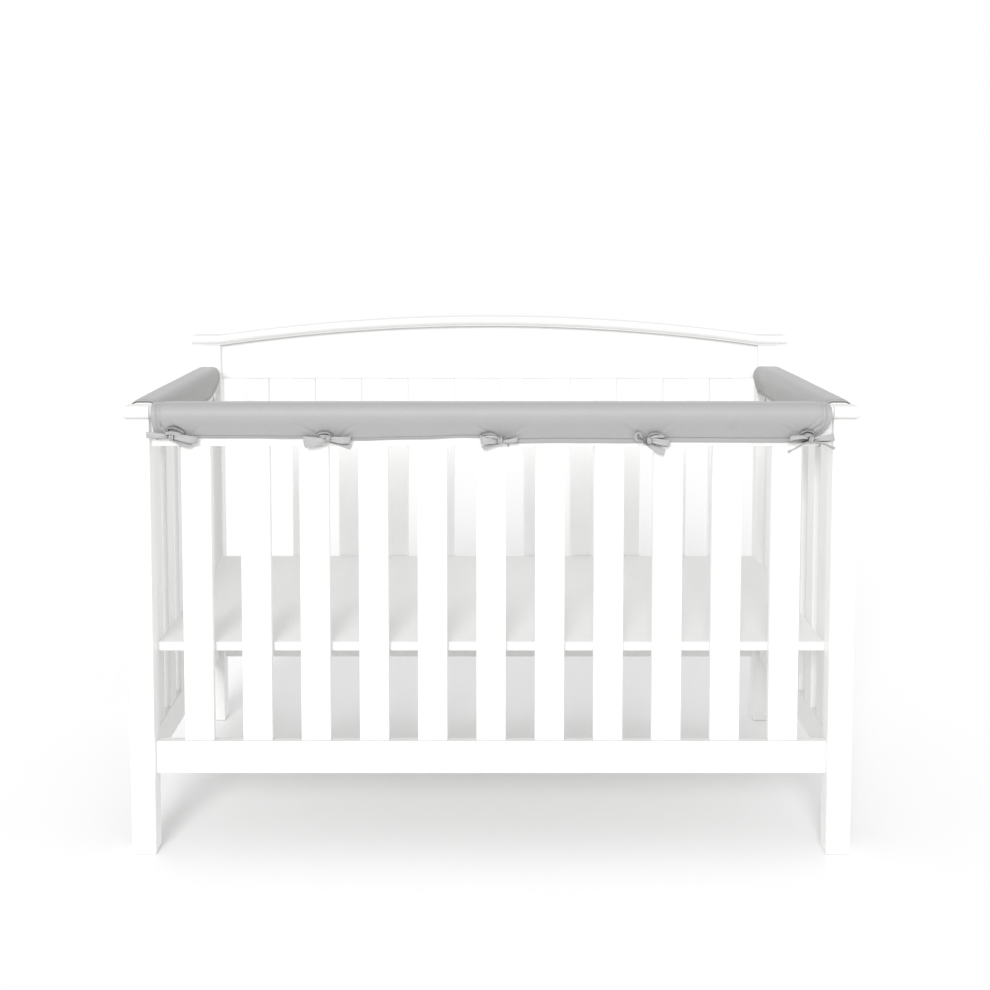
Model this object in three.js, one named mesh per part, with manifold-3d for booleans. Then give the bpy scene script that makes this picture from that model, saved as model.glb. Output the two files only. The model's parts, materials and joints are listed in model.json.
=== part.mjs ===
// A white slatted crib whose front rail and two side rails each wear a cloth rail cover,
// tied under the rail with narrow strips of the same cloth that end in small bows.
//
// Millimetres. The origin is on the floor under the crib's middle, +X is the crib's right
// seen from the front, +Y is its back and +Z is up.

import * as THREE from 'three';
import { mergeVertices } from 'three/addons/utils/BufferGeometryUtils.js';
import Module from 'manifold-3d';

const wasm = await Module();
wasm.setup();

// Driving dimensions of the crib
const GAP = 0.3; // left between two pieces that touch
const POST = 48; // square corner posts
const POST_X = 687; // from the middle of the crib to a post's axis
const POST_Y = 365.5;
const RAIL_TOP = 894; // wooden top of the front and side rails above the floor
const CAP_THICK = 25; // rounded cap along the top of a rail
const CAP_WIDE = 48;
const BOARD_THICK = 22; // board under the cap
const BOARD_DEEP = 54;
const POST_CAP_PROUD = 8; // how far a post's cap stands over the post's outer faces
const SLAT_WIDE = 58;
const SLAT_THICK = 20;
const SLATS_ACROSS = 11;
const SLATS_ASIDE = 6;
const SLAT_SUNK = 1; // how far a side slat is let into its bottom rail
const BOTTOM_RAIL_LOW = 160;
const BOTTOM_RAIL_HIGH = 225;
const SUPPORT_TOP = 418; // upper face of the board that carries the bedding
const SUPPORT_THICK = 18;
const SUPPORT_X = 662.5;
const SUPPORT_Y = 353;
const HEADER_LOW = 864; // lower edge of the headboard's panel
const CROWN_LOW = 947.5; // underside of the crown moulding at its ends
const CROWN_ARCH = 47.5; // how much higher its underside is in the middle
const CROWN_THICK = 23;
const CROWN_DEEP = 62;
const CROWN_X = 733;
const CROWN_ROUND = 6;
const ARCH_STEPS = 16; // straight steps along the headboard's arch
const CAP_CORNER = 3; // radius of a post cap's corners, seen from above
const CAP_ROUND = 12; // radius of its edges

// Driving dimensions of the cloth
const CLOTH = 3; // padded cover cloth
const COVER_WIDTH = 192; // flat width of a cover, hem to hem
const RIDGE_CLEAR = 2.5; // cloth above the cap
const RIDGE_HALF = 11.5; // flat strip on each side of the ridge line
const SHOULDER_TURN = 50; // degrees that the upper, tighter bend turns through
const SHOULDER_RADIUS = 15.5;
const CHEEK_RADIUS = 25.5; // lower, wider bend over the cap's edge
const HEM_ROLL = 9; // cloth in the strip that may roll under at a hem
const WALK_STEP = 0.5; // step along the cloth when a section is worked out

// Driving dimensions of the ties
const TIE_THICK = 1.6;
const KNOT = { along: 6.8, out: 5.0, up: 8.2, around: 7, rings: 5 };
const STRAP_WIDE = 10; // the strap between the back hem and the knot
const NECK_WIDE = 4;
const TAIL_SAG = 1.5;
const BOW_STEPS = { loop: 4, tail: 3, neck: 5 };
const BELLY = { least: 0.35, swell: 0.65 }; // shares of a loop's depth, at its ends and in its middle
const NECK_FORM = { least: 0.2, swell: 0.6 }; // how the small arch widens above its feet

const RAD = Math.PI / 180;
const INNER_X = POST_X - POST / 2;
const INNER_Y = POST_Y - POST / 2;
const BOARD_LOW = RAIL_TOP - CAP_THICK - BOARD_DEEP;

// Finishes

const paint = new THREE.MeshStandardMaterial({ color: '#fafaf8', roughness: 0.4, metalness: 0 });
const cloth = new THREE.MeshStandardMaterial({ color: '#c6c6c6', roughness: 0.9, metalness: 0 });

const crib = new THREE.Group();
const woodwork = new THREE.Group();
const softwork = new THREE.Group();
crib.add(woodwork, softwork);

function addWood(name, geometry) {
  const mesh = new THREE.Mesh(geometry, paint);
  mesh.name = name;
  woodwork.add(mesh);
}

function addCloth(name, geometry) {
  const mesh = new THREE.Mesh(geometry, cloth);
  mesh.name = name;
  softwork.add(mesh);
}

// Small tools for solids

/** A plain box between two corners. */
function boxBetween(low, high) {
  const size = high.map((value, k) => value - low[k]);
  const box = new THREE.BoxGeometry(...size);
  box.translate(...low.map((value, k) => value + size[k] / 2));
  return box;
}

/** Positions only, with shared points merged, as the boolean library needs them. */
function toSolid(geometry) {
  const bare = geometry.clone();
  bare.deleteAttribute('normal');
  bare.deleteAttribute('uv');
  const merged = mergeVertices(bare, 1e-4);
  return new wasm.Manifold(new wasm.Mesh({
    numProp: 3,
    vertProperties: new Float32Array(merged.getAttribute('position').array),
    triVerts: new Uint32Array(merged.getIndex().array),
  }));
}

function fromSolid(solid) {
  const mesh = solid.getMesh();
  const geometry = new THREE.BufferGeometry();
  geometry.setAttribute('position', new THREE.BufferAttribute(mesh.vertProperties, 3));
  geometry.setIndex(new THREE.BufferAttribute(mesh.triVerts, 1));
  return geometry;
}

function joined(geometries) {
  const solids = geometries.map(toSolid);
  return fromSolid(solids.reduce((whole, next) => whole.add(next)));
}

/** Triangles of one flat end as a fan; `first` is the number of the ring's first point. */
function fanEnd(first, count) {
  const faces = [];
  for (let j = 1; j + 1 < count; j++) {
    faces.push(first, first + j, first + j + 1);
  }
  return faces;
}

/** Triangles of one end of a folded sheet, strip by strip between the cloth's two faces. */
function stripEnd(first, count) {
  const faces = [];
  for (let j = 0; j + 1 < count / 2; j++) {
    const outer = first + j;
    const inner = first + count - 1 - j;
    faces.push(outer, outer + 1, inner - 1, outer, inner - 1, inner);
  }
  return faces;
}

/** A closed geometry from rings of points that all have the same count. */
function loft(rings, endFaces) {
  const count = rings[0].length;
  const positions = rings.flat().flatMap((point) => [point.x, point.y, point.z]);
  const faces = [];
  for (let i = 0; i + 1 < rings.length; i++) {
    for (let j = 0; j < count; j++) {
      const a = i * count + j;
      const b = i * count + (j + 1) % count;
      faces.push(a, b, b + count, a, b + count, a + count);
    }
  }
  faces.push(...endFaces(0, count).reverse());
  faces.push(...endFaces((rings.length - 1) * count, count));
  const geometry = new THREE.BufferGeometry();
  geometry.setAttribute('position', new THREE.Float32BufferAttribute(positions, 3));
  geometry.setIndex(faces);
  return geometry;
}

/** Turns the faces of a geometry round, after it was mirrored. */
function turnFaces(geometry) {
  const index = geometry.getIndex();
  for (let k = 0; k < index.count; k += 3) {
    const second = index.getX(k + 1);
    index.setX(k + 1, index.getX(k + 2));
    index.setX(k + 2, second);
  }
  return geometry;
}

// Rails: a rounded cap on a narrower board, drawn as one section and run along the rail

/** Section of a rail in (across, up), its top at up = 0. */
function railSection() {
  const round = CAP_THICK / 2;
  const flat = CAP_WIDE / 2 - round;
  const board = BOARD_THICK / 2;
  const section = new THREE.Shape();
  section.moveTo(-board, -CAP_THICK - BOARD_DEEP);
  section.lineTo(board, -CAP_THICK - BOARD_DEEP);
  section.lineTo(board, -CAP_THICK);
  section.lineTo(flat, -CAP_THICK);
  section.absarc(flat, -round, round, -Math.PI / 2, Math.PI / 2, false);
  section.lineTo(-flat, 0);
  section.absarc(-flat, -round, round, Math.PI / 2, Math.PI * 1.5, false);
  section.lineTo(-board, -CAP_THICK);
  return section;
}

/** A rail `length` long, centred, running along X, its cap's top at RAIL_TOP. */
function railAlongX(length) {
  const options = { depth: length, bevelEnabled: false, curveSegments: 6 };
  const rail = new THREE.ExtrudeGeometry(railSection(), options);
  rail.translate(0, 0, -length / 2);
  rail.rotateX(Math.PI / 2);
  rail.rotateZ(Math.PI / 2);
  rail.translate(0, 0, RAIL_TOP);
  return rail;
}

/** The square cap of a front post, its outer edges rounded; `side` is -1 at the left. */
function postCap(side) {
  const round = CAP_ROUND;
  const corner = CAP_CORNER;
  const inner = INNER_X;
  const outer = POST_X + POST / 2 + POST_CAP_PROUD;
  const front = -(POST_Y + POST / 2 + POST_CAP_PROUD);
  const back = -INNER_Y;
  const wide = outer - inner - 2 * round;
  const deep = back - front - 2 * round;
  const plan = new THREE.Shape();
  plan.moveTo(corner, 0);
  plan.lineTo(wide - corner, 0);
  plan.absarc(wide - corner, corner, corner, -Math.PI / 2, 0, false);
  plan.lineTo(wide, deep - corner);
  plan.absarc(wide - corner, deep - corner, corner, 0, Math.PI / 2, false);
  plan.lineTo(corner, deep);
  plan.absarc(corner, deep - corner, corner, Math.PI / 2, Math.PI, false);
  plan.lineTo(0, corner);
  plan.absarc(corner, corner, corner, Math.PI, Math.PI * 1.5, false);
  const cap = new THREE.ExtrudeGeometry(plan, {
    depth: CAP_THICK - GAP - 2 * round,
    bevelThickness: round,
    bevelSize: round,
    bevelSegments: 3,
    curveSegments: 2,
  });
  const left = side > 0 ? inner + round : -outer + round;
  cap.translate(left, front + round, RAIL_TOP - CAP_THICK + GAP + round);
  return cap;
}

// Crib

const HANDS = [['left', -POST_X], ['right', POST_X]];

function buildPosts() {
  const half = POST / 2;
  const rows = [['front', -POST_Y, RAIL_TOP - CAP_THICK], ['back', POST_Y, CROWN_LOW - GAP]];
  for (const [depth, y, top] of rows) {
    for (const [hand, x] of HANDS) {
      addWood(`post_${depth}_${hand}`, boxBetween([x - half, y - half, 0], [x + half, y + half, top]));
    }
  }
  addWood('post_cap_left', postCap(-1));
  addWood('post_cap_right', postCap(1));
}

function buildRails() {
  const front = railAlongX(2 * (INNER_X - GAP));
  front.translate(0, -POST_Y, 0);
  addWood('rail_front', front);
  for (const [hand, x] of HANDS) {
    const rail = railAlongX(2 * (INNER_Y - GAP));
    rail.rotateZ(Math.PI / 2);
    rail.translate(x, 0, 0);
    addWood(`rail_${hand}`, rail);
  }
}

/** Middles of `count` slats spread evenly over a span between -half and half. */
function slatMiddles(count, half) {
  const space = (2 * half - count * SLAT_WIDE) / (count + 1);
  const first = -half + space + SLAT_WIDE / 2;
  return Array.from({ length: count }, (_, k) => first + k * (space + SLAT_WIDE));
}

function buildFrontAndBack() {
  const middles = slatMiddles(SLATS_ACROSS, INNER_X);
  const reach = INNER_X - GAP;
  const board = BOARD_THICK / 2;
  const thick = SLAT_THICK / 2;
  for (const [depth, y, top] of [['front', -POST_Y, BOARD_LOW], ['back', POST_Y, HEADER_LOW]]) {
    const railLow = [-reach, y - board, BOTTOM_RAIL_LOW];
    const railHigh = [reach, y + board, BOTTOM_RAIL_HIGH];
    addWood(`bottom_rail_${depth}`, boxBetween(railLow, railHigh));
    middles.forEach((x, k) => {
      const low = [x - SLAT_WIDE / 2, y - thick, BOTTOM_RAIL_HIGH + GAP];
      const high = [x + SLAT_WIDE / 2, y + thick, top - GAP];
      addWood(`slat_${depth}_${String(k + 1).padStart(2, '0')}`, boxBetween(low, high));
    });
  }
}

/** A side panel: a bottom rail with its slats standing on it, cut as one piece. */
function buildSidePanels() {
  const reach = INNER_Y - GAP;
  const board = BOARD_THICK / 2;
  const thick = SLAT_THICK / 2;
  for (const [hand, x] of HANDS) {
    const railLow = [x - board, -reach, BOTTOM_RAIL_LOW];
    const pieces = [boxBetween(railLow, [x + board, reach, BOTTOM_RAIL_HIGH])];
    for (const y of slatMiddles(SLATS_ASIDE, INNER_Y)) {
      const low = [x - thick, y - SLAT_WIDE / 2, BOTTOM_RAIL_HIGH - SLAT_SUNK];
      const high = [x + thick, y + SLAT_WIDE / 2, BOARD_LOW - GAP];
      pieces.push(boxBetween(low, high));
    }
    addWood(`side_panel_${hand}`, joined(pieces));
  }
}

/** Height of the crown moulding's underside: flat over the posts, a low arch between them. */
function archHeight(x) {
  const share = Math.min(Math.abs(x) / INNER_X, 1);
  return CROWN_LOW + CROWN_ARCH * (1 - share * share);
}

/** Points of the arch from one x to another, for an outline in (x, z). */
function archLine(from, to, lift) {
  return Array.from({ length: ARCH_STEPS + 1 }, (_, k) => {
    const x = from + ((to - from) * k) / ARCH_STEPS;
    return new THREE.Vector2(x, archHeight(x) + lift);
  });
}

/** A slab `deep` across Y about y = middle, with the given outline in (x, z). */
function outlineAcrossY(points, deep, middle, bevel) {
  const slab = new THREE.ExtrudeGeometry(new THREE.Shape(points), {
    depth: deep - 2 * bevel,
    bevelEnabled: bevel > 0,
    bevelThickness: bevel,
    bevelSize: bevel,
    bevelOffset: -bevel,
    bevelSegments: 2,
  });
  slab.rotateX(Math.PI / 2);
  slab.translate(0, middle + deep / 2 - bevel, 0);
  return slab;
}

function buildHeadboard() {
  const reach = INNER_X - GAP;
  const panel = [new THREE.Vector2(-reach, HEADER_LOW), new THREE.Vector2(reach, HEADER_LOW)];
  panel.push(...archLine(reach, -reach, -GAP));
  addWood('headboard_panel', outlineAcrossY(panel, BOARD_THICK, POST_Y, 0));
  const under = archLine(-INNER_X, INNER_X, 0);
  const over = archLine(INNER_X, -INNER_X, CROWN_THICK);
  const crown = [new THREE.Vector2(-CROWN_X, CROWN_LOW), ...under, new THREE.Vector2(CROWN_X, CROWN_LOW)];
  crown.push(new THREE.Vector2(CROWN_X, CROWN_LOW + CROWN_THICK), ...over);
  crown.push(new THREE.Vector2(-CROWN_X, CROWN_LOW + CROWN_THICK));
  addWood('headboard_crown', outlineAcrossY(crown, CROWN_DEEP, POST_Y, CROWN_ROUND));
}

function buildSupport() {
  const low = [-SUPPORT_X, -SUPPORT_Y, SUPPORT_TOP - SUPPORT_THICK];
  addWood('mattress_support', boxBetween(low, [SUPPORT_X, SUPPORT_Y, SUPPORT_TOP]));
}

// Covers. Each is worked out in its rail's own frame: `along` the rail, `out` towards the
// face that carries the bows, and `up` from the top of the wood. A section is a walk over
// the cloth from the ridge, which turns down round the cap and then falls to the hem.
//
// Columns of a cover's rows: at is the place along the rail, face the cloth from the ridge
// to the face hem, lean and backLean how many degrees each flap leans in under the cap,
// roll the degrees that the face hem rolls under, and loose and backLoose how far the face
// and back stand off the cap.

const COVERS = [
  {
    name: 'cover_front',
    middle: [0, -POST_Y],
    alongAxis: [1, 0],
    outAxis: [0, -1],
    ends: [{ at: -659, pull: 5, tuck: 0 }, { at: 659, pull: 42, tuck: 7 }],
    spacing: 48,
    rows: [
      { at: -659, face: 90, lean: 10, backLean: 12, roll: 60, loose: 0, backLoose: 0 },
      { at: -545, face: 90.5, lean: 10, backLean: 13, roll: 95, loose: 0, backLoose: 0 },
      { at: -370, face: 91.5, lean: 10, backLean: 12, roll: 95, loose: 0.5, backLoose: 0 },
      { at: -262, face: 96, lean: 11, backLean: 13, roll: 85, loose: 0.5, backLoose: 1 },
      { at: -165, face: 93, lean: 10, backLean: 13, roll: 95, loose: 0, backLoose: 1 },
      { at: -30, face: 89, lean: 10, backLean: 12, roll: 95, loose: 0, backLoose: 0 },
      { at: 42, face: 98.5, lean: 13, backLean: 13, roll: 0, loose: 0, backLoose: 0 },
      { at: 135, face: 97.5, lean: 13, backLean: 12, roll: 0, loose: 0.5, backLoose: 0 },
      { at: 270, face: 98.5, lean: 13, backLean: 13, roll: 0, loose: 1, backLoose: 1 },
      { at: 367, face: 95.5, lean: 12, backLean: 13, roll: 0, loose: 0.5, backLoose: 1 },
      { at: 530, face: 97.5, lean: 13, backLean: 12, roll: 0, loose: 1.5, backLoose: 0 },
      { at: 659, face: 97.5, lean: 13, backLean: 12, roll: 0, loose: 1, backLoose: 0 },
    ],
  },
  {
    name: 'cover_left',
    middle: [-POST_X, 0],
    alongAxis: [0, 1],
    outAxis: [-1, 0],
    ends: [{ at: -333, pull: 8, tuck: 3 }, { at: 312, pull: 10, tuck: 6 }],
    spacing: 60,
    rows: [
      { at: -333, face: 96, lean: 12, backLean: 11, roll: 0, loose: 0, backLoose: 0 },
      { at: -120, face: 95, lean: 12, backLean: 12, roll: 10, loose: 1, backLoose: 1 },
      { at: 120, face: 97, lean: 13, backLean: 12, roll: 0, loose: 0, backLoose: 0 },
      { at: 250, face: 96, lean: 13, backLean: 13, roll: 10, loose: 0, backLoose: 0 },
      { at: 312, face: 95, lean: 13, backLean: 14.5, roll: 0, loose: 0, backLoose: 0 },
    ],
  },
  {
    name: 'cover_right',
    middle: [POST_X, 0],
    alongAxis: [0, 1],
    outAxis: [1, 0],
    ends: [{ at: -333, pull: 8, tuck: 3 }, { at: 322, pull: 18, tuck: 8 }],
    spacing: 60,
    rows: [
      { at: -333, face: 95, lean: 12, backLean: 12, roll: 0, loose: 0, backLoose: 0 },
      { at: -100, face: 96, lean: 13, backLean: 12, roll: 10, loose: 0, backLoose: 1 },
      { at: 110, face: 95, lean: 12, backLean: 11, roll: 0, loose: 1, backLoose: 2 },
      { at: 250, face: 96, lean: 12, backLean: 9, roll: 10, loose: 0, backLoose: 4 },
      { at: 322, face: 97, lean: 12, backLean: 7, roll: 0, loose: 0, backLoose: 9 },
    ],
  },
];

// Where the cloth is sampled across, from the ridge: round the bends, then down the flap
const BEND_MARKS = [0, 11.5, 20, 29, 38.5, 49];
const FLAP_MARKS = [0.5, 1]; // shares of the plain flap, before the hem strip
const HEM_MARKS = [0.5, 1]; // shares of the hem strip

// Each tie draws the hem in: marks round it, and how deep and how wide the dent is
const TIE_MARKS = [-26, 0, 26];
const DENT = { deep: 1.8, wide: 20, from: 50 };

// An end's corners are drawn along the rail: how fast the draw fades, and where it starts
const END_PULL = { fade: 62, from: 36, power: 2.3 };
const END_TUCK = { fade: 40, until: 36, power: 2 };
const END_MARK = 18; // an extra section this far from each end
const CLOSEST_MARKS = 7;

function smooth(share) {
  const s = Math.min(Math.max(share, 0), 1);
  return s * s * (3 - 2 * s);
}

/** The columns of a cover's rows at one place along it, eased between the rows. */
function rowAt(rows, along) {
  let k = 0;
  while (k < rows.length - 2 && along > rows[k + 1].at) {
    k += 1;
  }
  const share = smooth((along - rows[k].at) / (rows[k + 1].at - rows[k].at));
  const row = {};
  for (const key of Object.keys(rows[k])) {
    row[key] = rows[k][key] + (rows[k + 1][key] - rows[k][key]) * share;
  }
  return row;
}

/** Degrees that the cloth has turned down from level, after `walked` of it past the ridge. */
function turnAt(walked, shape) {
  const shoulder = shape.loose + RIDGE_HALF;
  const cheek = shoulder + SHOULDER_RADIUS * SHOULDER_TURN * RAD;
  const flap = cheek + CHEEK_RADIUS * (90 + shape.lean - SHOULDER_TURN) * RAD;
  const hem = shape.length - HEM_ROLL;
  if (walked <= shoulder) return 0;
  if (walked <= cheek) return (walked - shoulder) / SHOULDER_RADIUS / RAD;
  if (walked <= flap) return SHOULDER_TURN + (walked - cheek) / CHEEK_RADIUS / RAD;
  const rolled = Math.max(0, walked - hem) / HEM_ROLL;
  return 90 + shape.lean + shape.roll * rolled;
}

/** One side of a section from the ridge to its hem: points with out, up, turn and walked. */
function walkSide(shape) {
  const flapStart = BEND_MARKS.at(-1);
  const hemStart = shape.length - HEM_ROLL;
  const marks = [
    ...BEND_MARKS,
    ...FLAP_MARKS.map((share) => flapStart + (hemStart - flapStart) * share),
    ...HEM_MARKS.map((share) => hemStart + HEM_ROLL * share),
  ];
  const points = [];
  let out = 0;
  let up = RIDGE_CLEAR + CLOTH / 2;
  let walked = 0;
  for (const mark of marks) {
    const steps = Math.max(1, Math.round((mark - walked) / WALK_STEP));
    const step = (mark - walked) / steps;
    for (let k = 0; k < steps; k++) {
      const turn = turnAt(walked + step / 2, shape) * RAD;
      out += Math.cos(turn) * step;
      up -= Math.sin(turn) * step;
      walked += step;
    }
    points.push({ out, up, turn: turnAt(mark, shape) * RAD, walked: mark });
  }
  return points;
}

/** How much of a tie's draw is felt at `along`, 1 at the tie itself. */
function nearTie(along, ties) {
  return Math.max(...ties.map((tie) => Math.exp(-(((along - tie) / DENT.wide) ** 2))));
}

/** The shift along the rail where an end's corners are drawn to their knots. */
function endShift(cover, along, walked) {
  const [start, end] = cover.ends;
  const flap = COVER_WIDTH / 2 - END_PULL.from;
  const low = Math.max(0, (walked - END_PULL.from) / flap) ** END_PULL.power;
  const top = Math.max(0, 1 - walked / END_TUCK.until) ** END_TUCK.power;
  const fromStart = along - start.at;
  const fromEnd = end.at - along;
  const atStart = start.pull * low * Math.exp(-fromStart / END_PULL.fade)
    + start.tuck * top * Math.exp(-fromStart / END_TUCK.fade);
  const atEnd = end.pull * low * Math.exp(-fromEnd / END_PULL.fade)
    + end.tuck * top * Math.exp(-fromEnd / END_TUCK.fade);
  return atStart - atEnd;
}

/** Both faces of the cloth at one place along a cover, from the face hem to the back hem. */
function coverStation(cover, along, ties) {
  const row = rowAt(cover.rows, along);
  const face = walkSide({ length: row.face, lean: row.lean, roll: row.roll, loose: row.loose });
  const back = walkSide({
    length: COVER_WIDTH - row.face, lean: row.backLean, roll: 0, loose: row.backLoose,
  });
  const station = [];
  for (const [side, points] of [[1, face.toReversed()], [-1, back.slice(1)]]) {
    for (const point of points) {
      const length = side > 0 ? row.face : COVER_WIDTH - row.face;
      const low = smooth((point.walked - DENT.from) / (length - DENT.from));
      const dent = DENT.deep * low * nearTie(along, ties);
      const across = side * (point.out - dent);
      const normalOut = side * Math.sin(point.turn);
      const normalUp = Math.cos(point.turn);
      const at = along + endShift(cover, along, point.walked);
      station.push({
        outer: [at, across + (normalOut * CLOTH) / 2, point.up + (normalUp * CLOTH) / 2],
        inner: [at, across - (normalOut * CLOTH) / 2, point.up - (normalUp * CLOTH) / 2],
      });
    }
  }
  return station;
}

/** Places along a cover where a section is drawn: evenly, and closer round each tie. */
function marksAlong(cover, ties) {
  const [start, end] = cover.ends.map((one) => one.at);
  const count = Math.round((end - start) / cover.spacing);
  const wanted = Array.from({ length: count + 1 }, (_, k) => start + ((end - start) * k) / count);
  wanted.push(start + END_MARK, end - END_MARK);
  for (const tie of ties) {
    wanted.push(...TIE_MARKS.map((mark) => tie + mark));
  }
  const inside = wanted.filter((mark) => mark >= start && mark <= end).sort((a, b) => a - b);
  const kept = [start];
  for (const mark of inside) {
    if (mark - kept.at(-1) >= CLOSEST_MARKS && end - mark >= CLOSEST_MARKS) {
      kept.push(mark);
    }
  }
  kept.push(end);
  return kept;
}

/** Puts a point of a rail's own frame into the crib. */
function fromRail(cover, [along, out, up]) {
  const x = cover.middle[0] + cover.alongAxis[0] * along + cover.outAxis[0] * out;
  const y = cover.middle[1] + cover.alongAxis[1] * along + cover.outAxis[1] * out;
  return new THREE.Vector3(x, y, RAIL_TOP + up);
}

/** True where a rail's frame is left-handed, so that faces built in it come out turned. */
function isMirrored(cover) {
  const [ax, ay] = cover.alongAxis;
  const [ox, oy] = cover.outAxis;
  return ax * oy - ay * ox < 0;
}

/** A cover: each ring goes over its outer face and back along the inner one. */
function coverSolid(cover, ties) {
  const stations = marksAlong(cover, ties).map((along) => coverStation(cover, along, ties));
  const rings = stations.map((station) => [
    ...station.map((point) => fromRail(cover, point.outer)),
    ...station.toReversed().map((point) => fromRail(cover, point.inner)),
  ]);
  const solid = loft(rings, stripEnd);
  return isMirrored(cover) ? turnFaces(solid) : solid;
}

// Ties. Each is one strip that starts at the back hem, goes under the rail between two
// slats and ends in a bow on the face. In a bow, angle is degrees from the rail's own
// direction towards up, reach is from the knot, fan spreads a loop's two layers, turn
// stands a strip on edge, and neck is the small arch of the strip over the knot.

const FRONT_BOWS = [
  {
    at: -619, under: -619, up: -59, neck: { wide: 24, rise: 18, shift: 2 },
    loops: [{ angle: -4, reach: 50, wide: 12.5, fan: 3, deep: 5 }],
    tails: [
      { angle: 176, reach: 50, wide: 11.5, turn: 0 },
      { angle: -24, reach: 42, wide: 11.5, turn: 35 },
    ],
  },
  {
    at: -316, under: -303, up: -61, neck: { wide: 22, rise: 14, shift: 1 },
    loops: [
      { angle: 188, reach: 48, wide: 14, fan: 16, deep: 7 },
      { angle: -3, reach: 46, wide: 13, fan: 4, deep: 5 },
    ],
    tails: [{ angle: -20, reach: 47, wide: 9, turn: 20 }],
  },
  {
    at: 17, under: 38, up: -66, neck: { wide: 20, rise: 16, shift: -14 },
    loops: [
      { angle: 173, reach: 41, wide: 13, fan: 14, deep: 7 },
      { angle: 2, reach: 36, wide: 9, fan: 6, deep: 5 },
    ],
    tails: [
      { angle: 203, reach: 40, wide: 9, turn: 10 },
      { angle: -16, reach: 20, wide: 9, turn: 60 },
    ],
  },
  {
    at: 306, under: 303, up: -66, neck: { wide: 20, rise: 14, shift: 8 },
    loops: [
      { angle: 167, reach: 32, wide: 14, fan: 12, deep: 8 },
      { angle: 20, reach: 32, wide: 8, fan: 3, deep: 5 },
    ],
    tails: [
      { angle: -8, reach: 42, wide: 10.5, turn: 10 },
      { angle: -38, reach: 38, wide: 12.5, turn: 0 },
    ],
  },
  {
    at: 619, under: 619, up: -63, neck: { wide: 24, rise: 16, shift: -9 },
    loops: [
      { angle: 178, reach: 42, wide: 13, fan: 3, deep: 7 },
      { angle: 5, reach: 48, wide: 12, fan: 2, deep: 4 },
    ],
    tails: [
      { angle: 209, reach: 52, wide: 9, turn: 78 },
      { angle: -23, reach: 49, wide: 9, turn: 78 },
    ],
  },
];

/** The plain bow of the side rails, a little different at each place. */
function sideBow(at, lean) {
  return {
    at, under: at, up: -66, neck: { wide: 22, rise: 14, shift: lean / 2 },
    loops: [
      { angle: 176 + lean, reach: 42, wide: 12, fan: 5, deep: 6 },
      { angle: 4 + lean, reach: 44, wide: 12, fan: 5, deep: 6 },
    ],
    tails: [
      { angle: 214 + lean, reach: 50, wide: 11, turn: 20 },
      { angle: -36 + lean, reach: 48, wide: 11, turn: 30 },
    ],
  };
}

const SIDE_BOWS = [sideBow(-305, 4), sideBow(0, -3), sideBow(299, 2)];

// Where a bow stands off the rail's middle, the strap's way under the rail as (out, up)
// pairs, and how far below the back hem the strap starts
const BOW_OUT = 31;
const STRAP_UNDER = [[-15.2, -79.2], [-12.4, -81.9], [12.4, -81.9], [17.5, -79.6], [25, -73]];
const STRAP_BELOW = 2.2;

/** A flat strip run along points, `flat` giving the direction of its width at each. */
function strip(points, flats, wide, thick) {
  const rings = points.map((point, k) => {
    const before = points[Math.max(k - 1, 0)];
    const after = points[Math.min(k + 1, points.length - 1)];
    const ahead = after.clone().sub(before).normalize();
    const flat = flats[k].clone().addScaledVector(ahead, -flats[k].dot(ahead)).normalize();
    const side = flat.multiplyScalar(wide / 2);
    const proud = ahead.clone().cross(side).setLength(thick / 2);
    return [
      point.clone().add(side).add(proud),
      point.clone().sub(side).add(proud),
      point.clone().sub(side).sub(proud),
      point.clone().add(side).sub(proud),
    ];
  });
  return loft(rings, fanEnd);
}

/** The direction `angle` degrees round from along towards up, in (along, out, up). */
function heading(angle) {
  return new THREE.Vector3(Math.cos(angle * RAD), 0, Math.sin(angle * RAD));
}

/** Both layers of a loop, joined at its round end, leaving the knot at (along, out, up). */
function loopPieces(knot, loop) {
  const layers = [];
  for (const side of [1, -1]) {
    const spread = (side * loop.fan) / 2;
    const points = [];
    const flats = [];
    for (let k = 0; k <= BOW_STEPS.loop; k++) {
      const share = k / BOW_STEPS.loop;
      const angle = loop.angle + spread * (1 - share) * (1 + 4 * share);
      const swell = BELLY.least + BELLY.swell * Math.sin(Math.PI * share);
      const belly = loop.deep * swell * Math.sqrt(1 - share ** 6);
      const point = knot.clone().addScaledVector(heading(angle), loop.reach * share);
      point.y += (side * belly) / 2;
      points.push(point);
      flats.push(heading(angle + 90));
    }
    layers.push(strip(points, flats, loop.wide, TIE_THICK));
  }
  return layers;
}

/** A loose end, nearly straight out of the knot, turned about its own length. */
function tailPiece(knot, tail) {
  const ahead = heading(tail.angle);
  const points = [];
  const flats = [];
  for (let k = 0; k <= BOW_STEPS.tail; k++) {
    const share = k / BOW_STEPS.tail;
    const bow = TAIL_SAG * Math.sin(Math.PI * share);
    const point = knot.clone().addScaledVector(ahead, tail.reach * share);
    point.y += bow;
    point.z += bow;
    const turn = tail.turn * smooth(share * 2) * RAD;
    const flat = heading(tail.angle + 90).multiplyScalar(Math.cos(turn));
    flat.y = Math.sin(turn);
    points.push(point);
    flats.push(flat);
  }
  return strip(points, flats, tail.wide, TIE_THICK);
}

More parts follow.
